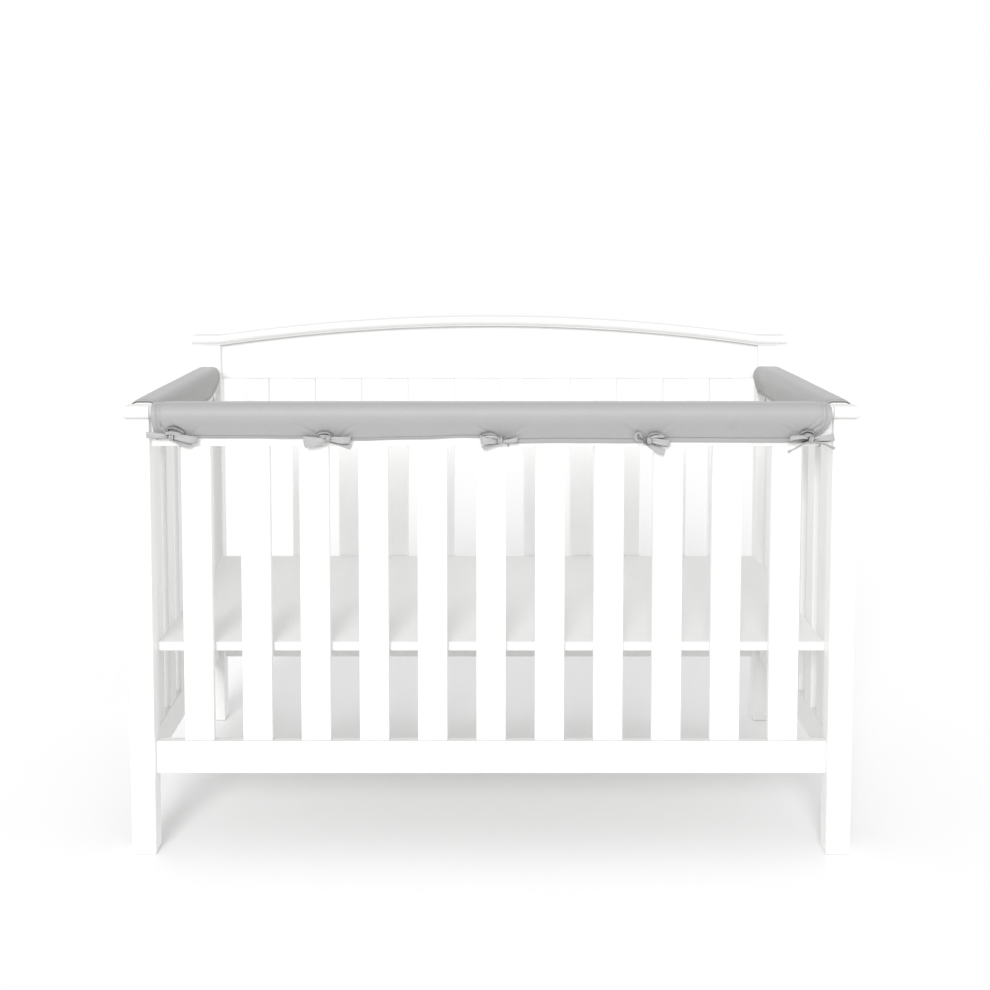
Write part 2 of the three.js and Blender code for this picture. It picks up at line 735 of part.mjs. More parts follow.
/** The small arch of the strip over the knot. */
function neckPiece(knot, neck) {
  const points = [];
  const flats = [];
  for (let k = 0; k <= BOW_STEPS.neck; k++) {
    const angle = (Math.PI * k) / BOW_STEPS.neck;
    const rise = Math.sin(angle);
    const half = (neck.wide / 2) * Math.sqrt(NECK_FORM.least + NECK_FORM.swell * rise);
    const point = knot.clone();
    point.x += neck.shift * rise - half * Math.cos(angle);
    point.y += 1;
    point.z += neck.rise * rise;
    points.push(point);
    flats.push(new THREE.Vector3(0, 1, 0));
  }
  return strip(points, flats, NECK_WIDE, TIE_THICK);
}

/** The strap from the back hem under the rail to the knot. */
function strapPiece(cover, bow, knot) {
  const row = rowAt(cover.rows, bow.under);
  const back = walkSide({
    length: COVER_WIDTH - row.face, lean: row.backLean, roll: 0, loose: row.backLoose,
  }).at(-1);
  const drawn = DENT.deep * nearTie(bow.under, [bow.at]);
  const start = [-back.out + drawn, back.up - STRAP_BELOW];
  const points = [start, ...STRAP_UNDER].map(([out, up]) => new THREE.Vector3(bow.under, out, up));
  points.push(knot.clone());
  const flats = points.map(() => new THREE.Vector3(1, 0, 0));
  return strip(points, flats, STRAP_WIDE, TIE_THICK);
}

function knotPiece(knot) {
  const lump = new THREE.SphereGeometry(1, KNOT.around, KNOT.rings);
  lump.scale(KNOT.along, KNOT.out, KNOT.up);
  lump.translate(knot.x, knot.y, knot.z);
  return lump;
}

function tieSolid(cover, bow) {
  const knot = new THREE.Vector3(bow.at, BOW_OUT, bow.up);
  const pieces = [knotPiece(knot), strapPiece(cover, bow, knot), neckPiece(knot, bow.neck)];
  for (const loop of bow.loops) {
    pieces.push(...loopPieces(knot, loop));
  }
  for (const tail of bow.tails) {
    pieces.push(tailPiece(knot, tail));
  }
  const whole = joined(pieces);
  const place = whole.getAttribute('position');
  for (let k = 0; k < place.count; k++) {
    const point = fromRail(cover, [place.getX(k), place.getY(k), place.getZ(k)]);
    place.setXYZ(k, point.x, point.y, point.z);
  }
  return isMirrored(cover) ? turnFaces(whole) : whole;
}

function buildCovers() {
  const bows = { cover_front: FRONT_BOWS, cover_left: SIDE_BOWS, cover_right: SIDE_BOWS };
  for (const cover of COVERS) {
    const own = bows[cover.name];
    const ties = own.map((bow) => bow.at);
    addCloth(cover.name, coverSolid(cover, ties));
    own.forEach((bow, k) => {
      addCloth(`${cover.name.replace('cover', 'tie')}_${k + 1}`, tieSolid(cover, bow));
    });
  }
}

buildPosts();
buildRails();
buildFrontAndBack();
buildSidePanels();
buildHeadboard();
buildSupport();
buildCovers();

export default crib;
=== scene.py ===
"""The looks of a white slatted crib whose front and side rails wear padded cotton covers.

Everything here is in the crib's own frame, in metres: the origin is on the floor under the
crib's middle, +X is its right seen from the front, +Y its back and +Z up. Tables of cloth and
wood sizes are in millimetres and are turned to metres where a mesh is made.
"""

import json
import logging
import math
from collections.abc import Sequence
from dataclasses import dataclass, field
from enum import Enum

import bpy
import numpy as np
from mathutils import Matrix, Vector

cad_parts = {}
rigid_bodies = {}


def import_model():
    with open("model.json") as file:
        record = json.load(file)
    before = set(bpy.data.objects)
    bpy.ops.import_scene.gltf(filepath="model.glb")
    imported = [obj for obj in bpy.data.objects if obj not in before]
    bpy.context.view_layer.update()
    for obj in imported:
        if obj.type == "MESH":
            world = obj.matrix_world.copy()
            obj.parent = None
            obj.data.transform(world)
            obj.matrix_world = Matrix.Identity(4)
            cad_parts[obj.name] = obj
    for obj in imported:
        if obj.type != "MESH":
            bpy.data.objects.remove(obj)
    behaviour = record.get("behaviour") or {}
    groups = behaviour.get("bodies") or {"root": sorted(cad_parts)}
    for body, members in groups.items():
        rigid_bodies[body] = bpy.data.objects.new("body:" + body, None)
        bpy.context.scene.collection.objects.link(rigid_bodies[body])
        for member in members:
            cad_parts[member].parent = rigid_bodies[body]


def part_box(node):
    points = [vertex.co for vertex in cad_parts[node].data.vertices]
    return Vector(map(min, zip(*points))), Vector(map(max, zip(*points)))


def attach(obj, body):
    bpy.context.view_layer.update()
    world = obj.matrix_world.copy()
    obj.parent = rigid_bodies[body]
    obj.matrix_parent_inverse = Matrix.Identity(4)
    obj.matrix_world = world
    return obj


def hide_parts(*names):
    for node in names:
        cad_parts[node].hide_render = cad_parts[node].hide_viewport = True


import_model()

LOG = logging.getLogger("crib")
MM = 0.001


class Slot(Enum):
    """The record's material slots."""

    COVER = "cover_cloth"
    TIE = "tie_cloth"
    PAINT = "white_paint"


class Grain(Enum):
    """The row axis that a board's grain runs along."""

    X = 0
    Y = 1
    Z = 2


class Face(Enum):
    """The two sides of a cover: the outer one with the bows, and the one inside the crib."""

    FACE = 1
    BACK = -1


# Colours and shader nodes


def linear(hex_colour: str) -> tuple[float, float, float, float]:
    """Turns an sRGB colour to the linear one that a shader socket takes.

    Args:
        hex_colour: Six hex digits after a hash sign.

    Returns:
        Linear red, green and blue, and an alpha of 1.
    """
    parts = [int(hex_colour[k : k + 2], 16) / 255 for k in (1, 3, 5)]
    low = [part / 12.92 for part in parts]
    high = [((part + 0.055) / 1.055) ** 2.4 for part in parts]
    mixed = [a if part <= 0.04045 else b for part, a, b in zip(parts, low, high)]
    return (*mixed, 1.0)


def add_node(
    tree: bpy.types.NodeTree,
    kind: str,
    values: dict[str | int, object] | None = None,
    links: dict[str | int, bpy.types.NodeSocket] | None = None,
    **settings: object,
) -> bpy.types.Node:
    """Adds one node with its settings, its plain values and its links.

    Args:
        tree: The node tree that takes the node.
        kind: The node's type name.
        values: Plain values by input name or number.
        links: Output sockets by the input name or number that each goes into.
        **settings: The node's own properties.

    Returns:
        The new node.
    """
    node = tree.nodes.new(kind)
    for name, value in settings.items():
        setattr(node, name, value)
    for key, value in (values or {}).items():
        node.inputs[key].default_value = value
    for key, socket in (links or {}).items():
        tree.links.new(socket, node.inputs[key])
    return node


def new_material(name: str) -> tuple[bpy.types.Material, bpy.types.Node]:
    """Makes an empty material with one Principled shader wired to its output.

    Args:
        name: The material's name.

    Returns:
        The material and its Principled node.
    """
    material = bpy.data.materials.new(name)
    material.use_nodes = True
    material.node_tree.nodes.clear()
    shader = add_node(material.node_tree, "ShaderNodeBsdfPrincipled")
    add_node(
        material.node_tree,
        "ShaderNodeOutputMaterial",
        links={"Surface": shader.outputs["BSDF"]},
    )
    return material, shader


@dataclass(frozen=True)
class WovenCotton:
    """Plain-woven cotton, washed but not pressed: matt, faintly fuzzy, with threads and slubs.

    The real thread spacing of such cloth is about 0.35 mm. The weave is drawn 1 mm wide, which
    is as fine as a near view shows. Creases and the folds of the bows get painted shade: the
    colour is darkened towards black by the share of open air round a point, looked for as far
    as painted_shade_reach_mm and raised to the power painted_shade_power.
    """

    name: str
    colour: str
    slub_colour: str
    weave_mm: float = 1.0
    weave_deep: float = 0.22
    slubs_per_m: tuple[float, float] = (60.0, 900.0)  # along the warp and across it
    mottle_per_m: float = 16.0
    sheen: float = 0.18
    # painted shade: how far it looks for nearby cloth, and the power that deepens it
    painted_shade_reach_mm: float = 5.0
    painted_shade_power: float = 1.0

    def material(self) -> bpy.types.Material:
        """Builds the material, which reads the piece's own cloth coordinates in metres.

        Height is the sine across the warp times the sine across the weft, so that threads pass
        over and under each other, plus slubs: noise drawn out along the warp.

        Returns:
            The finished material.
        """
        material, shader = new_material(self.name)
        tree = material.node_tree
        place = add_node(tree, "ShaderNodeUVMap", uv_map="cloth")
        parts = add_node(tree, "ShaderNodeSeparateXYZ", links={0: place.outputs["UV"]})
        waves = []
        for axis in ("X", "Y"):
            scaled = add_node(
                tree,
                "ShaderNodeMath",
                operation="MULTIPLY",
                values={1: math.pi / (self.weave_mm * MM)},
                links={0: parts.outputs[axis]},
            )
            waves.append(
                add_node(tree, "ShaderNodeMath", operation="SINE", links={0: scaled.outputs[0]})
            )
        weave = add_node(
            tree,
            "ShaderNodeMath",
            operation="MULTIPLY",
            links={0: waves[0].outputs[0], 1: waves[1].outputs[0]},
        )
        drawn_out = add_node(
            tree,
            "ShaderNodeMapping",
            values={"Scale": (*self.slubs_per_m, 1.0)},
            links={"Vector": place.outputs["UV"]},
        )
        slubs = add_node(
            tree,
            "ShaderNodeTexNoise",
            values={"Scale": 1.0, "Detail": 3.0, "Roughness": 0.55},
            links={"Vector": drawn_out.outputs["Vector"]},
        )
        mottle = add_node(
            tree,
            "ShaderNodeTexNoise",
            values={"Scale": self.mottle_per_m, "Detail": 2.0},
            links={"Vector": place.outputs["UV"]},
        )
        shade = add_node(
            tree,
            "ShaderNodeMath",
            operation="MULTIPLY_ADD",
            values={1: 0.35},
            links={0: mottle.outputs["Fac"], 2: slubs.outputs["Fac"]},
        )
        colour = add_node(
            tree,
            "ShaderNodeMix",
            data_type="RGBA",
            values={6: linear(self.colour), 7: linear(self.slub_colour)},
            links={0: shade.outputs[0]},
        )
        height = add_node(
            tree,
            "ShaderNodeMath",
            operation="MULTIPLY_ADD",
            values={1: 0.6},
            links={0: weave.outputs[0], 2: slubs.outputs["Fac"]},
        )
        bump = add_node(
            tree,
            "ShaderNodeBump",
            values={"Strength": self.weave_deep, "Distance": 0.0004},
            links={"Height": height.outputs[0]},
        )
        rough = add_node(
            tree,
            "ShaderNodeMapRange",
            values={"To Min": 0.48, "To Max": 0.56},
            links={"Value": slubs.outputs["Fac"]},
        )
        # Painted shade: ambient occlusion darkens the colour where other cloth is near, in creases and
        # under loops
        occlusion = add_node(
            tree,
            "ShaderNodeAmbientOcclusion",
            samples=8,
            values={"Distance": self.painted_shade_reach_mm * MM},
        )
        painted_shade_share = add_node(
            tree,
            "ShaderNodeMath",
            operation="POWER",
            values={1: self.painted_shade_power},
            links={0: occlusion.outputs["AO"]},
        )
        painted_shade_colour = add_node(
            tree,
            "ShaderNodeMix",
            data_type="RGBA",
            values={6: (0.0, 0.0, 0.0, 1.0)},
            links={0: painted_shade_share.outputs[0], 7: colour.outputs[2]},
        )
        tree.links.new(painted_shade_colour.outputs[2], shader.inputs["Base Color"])
        tree.links.new(rough.outputs["Result"], shader.inputs["Roughness"])
        tree.links.new(bump.outputs["Normal"], shader.inputs["Normal"])
        shader.inputs["Sheen Weight"].default_value = self.sheen
        shader.inputs["Sheen Roughness"].default_value = 0.5
        shader.inputs["IOR"].default_value = 1.5
        shader.inputs["Specular IOR Level"].default_value = 0.6
        return material


@dataclass(frozen=True)
class SewingThread:
    """Twisted cotton thread: two plies that wind round each other, a little shinier than cloth."""

    name: str
    colour: str
    ply_colour: str
    plies_per_m: float = 800.0

    def material(self) -> bpy.types.Material:
        """Builds the material from slanted bands 0.4 mm wide on Object coordinates.

        Returns:
            The finished material.
        """
        material, shader = new_material(self.name)
        tree = material.node_tree
        place = add_node(tree, "ShaderNodeTexCoord")
        plies = add_node(
            tree,
            "ShaderNodeTexWave",
            bands_direction="DIAGONAL",
            values={"Scale": self.plies_per_m, "Distortion": 1.0},
            links={"Vector": place.outputs["Object"]},
        )
        colour = add_node(
            tree,
            "ShaderNodeMix",
            data_type="RGBA",
            values={6: linear(self.ply_colour), 7: linear(self.colour)},
            links={0: plies.outputs["Fac"]},
        )
        tree.links.new(colour.outputs[2], shader.inputs["Base Color"])
        shader.inputs["Roughness"].default_value = 0.65
        shader.inputs["Sheen Weight"].default_value = 0.1
        return material


@dataclass(frozen=True)
class SprayedPine:
    """Pine under sprayed white enamel: satin, with a fine orange peel and a trace of grain."""

    name: str
    grain: Grain
    colour: str = "#dadad9"
    shade_colour: str = "#d2d2d0"
    grain_mm: float = 4.0
    grain_long_mm: float = 250.0
    peel_per_m: float = 650.0
    cloud_per_m: float = 3.5

    def material(self) -> bpy.types.Material:
        """Builds the material on Object coordinates.

        The peel is noise about 1.5 mm across. The grain is noise 4 mm across and a quarter of a
        metre long, which barely tells through the paint in both shade and gloss.

        Returns:
            The finished material.
        """
        material, shader = new_material(self.name)
        tree = material.node_tree
        place = add_node(tree, "ShaderNodeTexCoord")
        stretch = [1 / (self.grain_mm * MM)] * 3
        stretch[self.grain.value] = 1 / (self.grain_long_mm * MM)
        along = add_node(
            tree,
            "ShaderNodeMapping",
            values={"Scale": stretch},
            links={"Vector": place.outputs["Object"]},
        )
        grain = add_node(
            tree,
            "ShaderNodeTexNoise",
            values={"Scale": 1.0, "Detail": 4.0, "Roughness": 0.6},
            links={"Vector": along.outputs["Vector"]},
        )
        peel = add_node(
            tree,
            "ShaderNodeTexNoise",
            values={"Scale": self.peel_per_m, "Detail": 1.0},
            links={"Vector": place.outputs["Object"]},
        )
        cloud = add_node(
            tree,
            "ShaderNodeTexNoise",
            values={"Scale": self.cloud_per_m, "Detail": 2.0},
            links={"Vector": place.outputs["Object"]},
        )
        shade = add_node(
            tree,
            "ShaderNodeMath",
            operation="MULTIPLY",
            links={0: grain.outputs["Fac"], 1: cloud.outputs["Fac"]},
        )
        colour = add_node(
            tree,
            "ShaderNodeMix",
            data_type="RGBA",
            values={6: linear(self.colour), 7: linear(self.shade_colour)},
            links={0: shade.outputs[0]},
        )
        rough = add_node(
            tree,
            "ShaderNodeMapRange",
            values={"To Min": 0.36, "To Max": 0.5},
            links={"Value": grain.outputs["Fac"]},
        )
        relief = add_node(
            tree,
            "ShaderNodeMath",
            operation="MULTIPLY_ADD",
            values={1: 0.5},
            links={0: peel.outputs["Fac"], 2: grain.outputs["Fac"]},
        )
        bump = add_node(
            tree,
            "ShaderNodeBump",
            values={"Strength": 0.12, "Distance": 0.00025},
            links={"Height": relief.outputs[0]},
        )
        tree.links.new(colour.outputs[2], shader.inputs["Base Color"])
        tree.links.new(rough.outputs["Result"], shader.inputs["Roughness"])
        tree.links.new(bump.outputs["Normal"], shader.inputs["Normal"])
        shader.inputs["IOR"].default_value = 1.48
        return material


@dataclass(frozen=True)
class StudioPaper:
    """Matt white paper under the crib, with a very slight unevenness."""

    name: str = "studio_paper_matt"
    colour: str = "#f4f4f4"
    shade_colour: str = "#f2f2f2"
    cloud_per_m: float = 1.3

    def material(self) -> bpy.types.Material:
        """Builds the material from one broad noise on Object coordinates.

        Returns:
            The finished material.
        """
        material, shader = new_material(self.name)
        tree = material.node_tree
        place = add_node(tree, "ShaderNodeTexCoord")
        cloud = add_node(
            tree,
            "ShaderNodeTexNoise",
            values={"Scale": self.cloud_per_m},
            links={"Vector": place.outputs["Object"]},
        )
        colour = add_node(
            tree,
            "ShaderNodeMix",
            data_type="RGBA",
            values={6: linear(self.colour), 7: linear(self.shade_colour)},
            links={0: cloud.outputs["Fac"]},
        )
        tree.links.new(colour.outputs[2], shader.inputs["Base Color"])
        shader.inputs["Roughness"].default_value = 1.0
        shader.inputs["Specular IOR Level"].default_value = 0.0
        return material


# Meshes


@dataclass
class Surface:
    """Points in metres, faces of four, and the cloth coordinates of each face's corners."""

    points: np.ndarray
    faces: np.ndarray
    corner_uv: np.ndarray


def smooth(share: np.ndarray) -> np.ndarray:
    """Three squares less two cubes of a share that is kept between 0 and 1."""
    kept = np.clip(share, 0.0, 1.0)
    return kept * kept * (3.0 - 2.0 * kept)


def unit(vectors: np.ndarray) -> np.ndarray:
    """Vectors of length 1 in the same directions."""
    return vectors / np.maximum(np.linalg.norm(vectors, axis=-1, keepdims=True), 1e-12)


def grid_quads(number: np.ndarray) -> np.ndarray:
    """The faces between the rows and columns of a grid of point numbers."""
    corners = [number[:-1, :-1], number[1:, :-1], number[1:, 1:], number[:-1, 1:]]
    return np.stack(corners, axis=-1).reshape(-1, 4)


def two_sided(
    middle: np.ndarray,
    normal: np.ndarray,
    front: np.ndarray,
    back: np.ndarray,
    cloth: np.ndarray,
) -> Surface:
    """Closes a sheet round its middle surface.

    The front is the middle plus the normal times the front's thickness, and the back is the
    middle less the normal times the back's. Both are nought on the border, where the two sides
    share their points, so the sheet is one closed surface with a rounded edge.

    Args:
        middle: Grid of points in metres, rows by columns by 3.
        normal: Grid of unit normals.
        front: Grid of thicknesses in front of the middle, in metres.
        back: Grid of thicknesses behind it.
        cloth: Grid of cloth coordinates in metres, rows by columns by 2.

    Returns:
        The closed surface, its faces turned outwards.
    """
    rows, columns = middle.shape[:2]
    before = middle + normal * front[..., None]
    behind = (middle - normal * back[..., None])[1:-1, 1:-1]
    number = np.arange(rows * columns).reshape(rows, columns)
    turned = number.copy()
    inside = np.arange((rows - 2) * (columns - 2)).reshape(rows - 2, columns - 2)
    turned[1:-1, 1:-1] = rows * columns + inside
    faces = np.concatenate([grid_quads(number), grid_quads(turned)[:, ::-1]])
    across = grid_quads(number)
    uv = cloth.reshape(-1, 2)
    corner_uv = np.concatenate([uv[across], uv[across[:, ::-1]]])
    down = np.gradient(middle, axis=0)
    over = np.gradient(middle, axis=1)
    if (np.cross(down, over) * normal).sum() < 0:
        faces = faces[:, ::-1]
        corner_uv = corner_uv[:, ::-1]
    points = np.concatenate([before.reshape(-1, 3), behind.reshape(-1, 3)])
    return Surface(points, faces, corner_uv)


def joined(surfaces: Sequence[Surface]) -> Surface:
    """Puts several surfaces into one, each keeping its own points.

    Args:
        surfaces: The surfaces.

    Returns:
        One surface, whose faces count on from one part's points to the next.
    """
    starts = np.cumsum([0] + [len(one.points) for one in surfaces[:-1]])
    return Surface(
        np.concatenate([one.points for one in surfaces]),
        np.concatenate([one.faces + start for one, start in zip(surfaces, starts)]),
        np.concatenate([one.corner_uv for one in surfaces]),
    )


def make_object(
    name: str,
    points: np.ndarray,
    faces: Sequence[Sequence[int]],
    material: bpy.types.Material,
) -> bpy.types.Object:
    """Makes a smooth-shaded mesh object at the origin.

    Args:
        name: The object's name.
        points: Points in metres.
        faces: Point numbers of each face.
        material: The finish.

    Returns:
        The new object.
    """
    mesh = bpy.data.meshes.new(name)
    mesh.from_pydata(points, [], faces)
    mesh.shade_smooth()
    mesh.materials.append(material)
    thing = bpy.data.objects.new(name, mesh)
    bpy.context.scene.collection.objects.link(thing)
    return thing


def make_cloth(name: str, surface: Surface, material: bpy.types.Material) -> bpy.types.Object:
    """Makes an object from a surface, with its cloth coordinates as a UV map.

    Args:
        name: The object's name.
        surface: Its points, faces and cloth coordinates.
        material: The finish.

    Returns:
        The new object.
    """
    thing = make_object(name, surface.points, surface.faces, material)
    layer = thing.data.uv_layers.new(name="cloth")
    layer.data.foreach_set("uv", surface.corner_uv.astype(np.float32).ravel())
    return thing


def stand_for(thing: bpy.types.Object, slot: Slot, *nodes: str) -> None:
    """Lets a piece ride on the crib and stand for the nodes named, which are hidden.

    Args:
        thing: The piece.
        slot: Not used.
        *nodes: The nodes that it replaces, if any.
    """
    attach(thing, "root")
    if nodes:
        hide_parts(*nodes)
    faces = len(thing.data.polygons)
    LOG.info("%s: %d faces, for %s", thing.name, faces, ", ".join(nodes) or "no node")


# Covers


@dataclass(frozen=True)
class RailFrame:
    """A rail's own frame: along the rail, out towards the face with the bows, and up."""

    middle: tuple[float, float]
    along: tuple[float, float]
    out: tuple[float, float]
    top: float = 894.0

    def direction(self, along: np.ndarray, out: np.ndarray, up: np.ndarray) -> np.ndarray:
        """Turns a direction from the rail's frame to the crib's.

        Args:
            along: Its share along the rail.
            out: Its share out towards the face with the bows.
            up: Its share upwards.

        Returns:
            The direction's X, Y and Z in the last axis of an array.
        """
        x = self.along[0] * along + self.out[0] * out
        y = self.along[1] * along + self.out[1] * out
        return np.stack(np.broadcast_arrays(x, y, up), axis=-1)

    def place(self, along: np.ndarray, out: np.ndarray, up: np.ndarray) -> np.ndarray:
        """Turns a point in millimetres in the rail's frame to metres in the crib's."""
        start = np.array([self.middle[0], self.middle[1], self.top])
        return (self.direction(along, out, up) + start) * MM


@dataclass(frozen=True)
class CoverEnd:
    """One end of a cover: its place, and how far its corner and its ridge are drawn in.

    The bend is the power by which the draw grows down the flap.
    """

    at: float
    pull: float
    tuck: float
    bend: float = 2.3


@dataclass
class Section:
    """One side of a cover on a grid of stations and marks, in its rail's frame."""

    out: np.ndarray
    up: np.ndarray
    turn: np.ndarray
    walked: np.ndarray
    length: np.ndarray


ROW_COLUMNS = ("at", "face", "lean", "back_lean", "roll", "loose", "back_loose")

FRONT_ROWS = np.array(
    [
        (-659, 93.0, 10, 12.0, 60, 0.0, 0),
        (-545, 93.5, 10, 13.0, 95, 0.0, 0),
        (-370, 94.5, 10, 12.0, 95, 0.5, 0),
        (-262, 99.0, 11, 13.0, 85, 0.5, 1),
        (-165, 96.0, 10, 13.0, 95, 0.0, 1),
        (-30, 92.0, 10, 12.0, 95, 0.0, 0),
        (42, 101.1, 13, 13.0, -16, 0.0, 0),
        (135, 100.1, 13, 12.0, -16, 0.5, 0),
        (270, 101.1, 13, 13.0, -16, 1.0, 1),
        (367, 98.1, 12, 13.0, -16, 0.5, 1),
        (530, 100.1, 13, 12.0, -16, 1.5, 0),
        (659, 100.1, 13, 12.0, -16, 1.0, 0),
    ]
)
LEFT_ROWS = np.array(
    [
        (-333, 96, 12, 11.0, 0, 0, 0),
        (-120, 95, 12, 12.0, 10, 1, 1),
        (120, 97, 13, 12.0, 0, 0, 0),
        (250, 96, 13, 13.0, 10, 0, 0),
        (312, 95, 13, 14.5, 0, 0, -3),
    ]
)
RIGHT_ROWS = np.array(
    [
        (-333, 95, 12, 12.0, 0, 0, 0),
        (-100, 96, 13, 12.0, 10, 0, 1),
        (110, 95, 12, 11.0, 0, 1, 2),
        (250, 96, 12, 9.0, 10, 0, 4),
        (322, 97, 12, 4.0, 0, 0, 9),
    ]
)

# Creases. Columns: where each starts and ends along the rail and over the cloth from the
# ridge, minus on the inner side, then how deep and how wide it is.
FRONT_CREASES = np.array(
    [
        (-648, 38, -639, 66, 1.2, 2.2),
        (-642, 60, -622, 84, 1.3, 2.2),
        (-652, 66, -628, 86, 0.9, 2.0),
        (-628, 50, -600, 78, 0.7, 3.0),
        (-560, 62, -590, 84, 0.7, 3.5),
        (-372, 60, -335, 84, 0.8, 3.4),
        (-262, 58, -296, 84, 0.9, 3.4),
        (-40, 56, 2, 82, 0.8, 3.2),
        (72, 58, 34, 84, 0.8, 3.4),
        (250, 58, 290, 86, 0.9, 3.4),
        (352, 54, 322, 84, 0.7, 3.2),
        (459, 78, 472, 50, 1.5, 2.6),
        (468, 80, 483, 54, 1.1, 2.6),
        (560, 60, 600, 84, 0.9, 3.4),
        (648, 50, 624, 82, 1.2, 3.0),
        (640, 40, 612, 78, 0.9, 2.8),
    ]
)
SIDE_CREASES = np.array(
    [
        (306, -46, 258, -88, 2.4, 4.0),
        (310, -66, 278, -92, 1.9, 3.4),
        (290, -40, 236, -82, 1.6, 4.8),
        (262, -58, 214, -84, 1.2, 5.0),
        (-120, -60, -70, -84, 0.6, 4.0),
        (300, 50, 270, 84, 1.0, 3.2),
        (-325, 55, -290, 84, 1.0, 3.2),
        (-30, 62, 0, 86, 0.7, 3.2),
    ]
)


@dataclass
class RailCover:
    """A padded cover over one rail, with its hems, creases and stitches.

    Its sizes are in millimetres and its angles in degrees. From the ridge each side runs level,
    turns down over a shoulder and a wider cheek to upright, and leans in as a free flap.
    """

    name: str
    node: str
    rail: RailFrame
    rows: np.ndarray
    start: CoverEnd
    end: CoverEnd
    ties: tuple[float, ...]
    creases: np.ndarray
    seed: int
    rests_on: str
    width: float = 192.0  # flat, from hem to hem
    ridge_clear: float = 2.5  # between the rail's top and the cloth over it
    ridge_half: float = 11.5  # level cloth on each side of the ridge
    shoulder_turn: float = 50.0
    shoulder_radius: float = 15.5
    cheek_radius: float = 25.5
    flap_radius: float = 52.0
    flap_from: float = 36.0  # cloth from the ridge to where a flap hangs free
    lean_more: float = 7.0  # added to each flap's lean in the rows
    hem_roll: float = 9.0  # cloth that takes up the face hem's roll
    body_half: float = 1.65  # half the padded cloth's thickness
    band_half: float = 1.35  # half a hem's or an end's thickness
    edge_round: float = 1.3
    groove: float = 0.85  # how far a row of stitches presses into each face
    seam_deep: float = 0.8  # how far the whole cloth dips along a seam
    end_drop: float = 1.6  # how far the cloth sinks at its two ends
    end_drop_wide: float = 24.0
    corner_fade: float = 62.0  # how far along the rail an end draws its corners in
    ridge_fade: float = 40.0  # and its ridge
    tie_draw: float = 1.8  # how far a tie draws the hem in
    tie_draw_wide: float = 20.0
    wave_high: float = 0.14
    wave_lengths: tuple[float, ...] = (210, 133, 97, 71)
    pucker_high: float = 1.5
    pucker_fade: float = 17.0
    stitch_share: float = 0.905  # a hem's seam, as a share of half the width
    end_band: float = 10.0  # from an end's edge to its seam
    stitch_pitch: float = 3.4
    station_pitch: float = 5.5
    fine_pitch: float = 1.7  # near a tie or an end
    tie_reach: float = 44.0
    end_reach: float = 26.0
    piece: bpy.types.Object | None = field(default=None, init=False)

    def row_at(self, along: np.ndarray) -> dict[str, np.ndarray]:
        """Reads the table's columns, eased from one row to the next.

        Args:
            along: Places along the rail.

        Returns:
            Each column's name with its values there.
        """
        at = self.rows[:, 0]
        k = np.clip(np.searchsorted(at, along) - 1, 0, len(at) - 2)
        share = smooth((along - at[k]) / (at[k + 1] - at[k]))[:, None]
        mixed = self.rows[k] + (self.rows[k + 1] - self.rows[k]) * share
        return dict(zip(ROW_COLUMNS, mixed.T))

    def stations(self) -> np.ndarray:
        """Places along the cover where a section is drawn.

        They are closer near a tie or an end: the places are even steps of the running sum of a
        density. A few more round each end's edge.

        Returns:
            The places in millimetres, rising.
        """
        fine = np.linspace(self.start.at + 2, self.end.at - 2, 4000)
        marks = np.array([*self.ties, self.start.at, self.end.at])
        reach = np.where(np.isin(marks, self.ties), self.tie_reach, self.end_reach)
        near = (1 - smooth((np.abs(fine[:, None] - marks) - reach) / 8.0)).max(axis=1)
        coarse, more = 1 / self.station_pitch, 1 / self.fine_pitch - 1 / self.station_pitch
        density = np.cumsum(coarse + more * near)
        count = int(density[-1] * (fine[1] - fine[0]))
        places = np.interp(np.linspace(density[0], density[-1], count), density, fine)
        edge = np.array([0.0, 0.2, 0.7, 1.3])
        return np.concatenate([self.start.at + edge, places, self.end.at - edge[::-1]])

    def turn_at(
        self,
        walked: np.ndarray,
        length: np.ndarray,
        lean: np.ndarray,
        roll: np.ndarray,
        loose: np.ndarray,
    ) -> np.ndarray:
        """Works out how far the cloth has turned down from level.

        The turn is a sum of four: the shoulder's, which grows evenly over its arc, the cheek's,
        which grows over a wider arc to upright, the flap's, which grows over the widest arc to
        its lean, and the hem's roll, which grows over the last of the cloth.

        Args:
            walked: Cloth from the ridge to each point.
            length: Cloth from the ridge to the hem.
            lean: The flap's lean past upright.
            roll: The hem's roll.
            loose: Level cloth beyond the ridge's usual half width.

        Returns:
            The turn in radians.
        """
        shoulder = loose + self.ridge_half
        first = np.radians(self.shoulder_turn)
        cheek = shoulder + self.shoulder_radius * first
        second = np.pi / 2 - first
        flap = cheek + self.cheek_radius * second
        third = np.radians(lean + self.lean_more)
        hem = (walked - (length - self.hem_roll)) / self.hem_roll
        return (
            np.clip((walked - shoulder) / self.shoulder_radius, 0, first)
            + np.clip((walked - cheek) / self.cheek_radius, 0, second)
            + np.clip((walked - flap) / self.flap_radius, 0, third)
            + np.radians(roll) * np.clip(hem, 0, 1)
        )

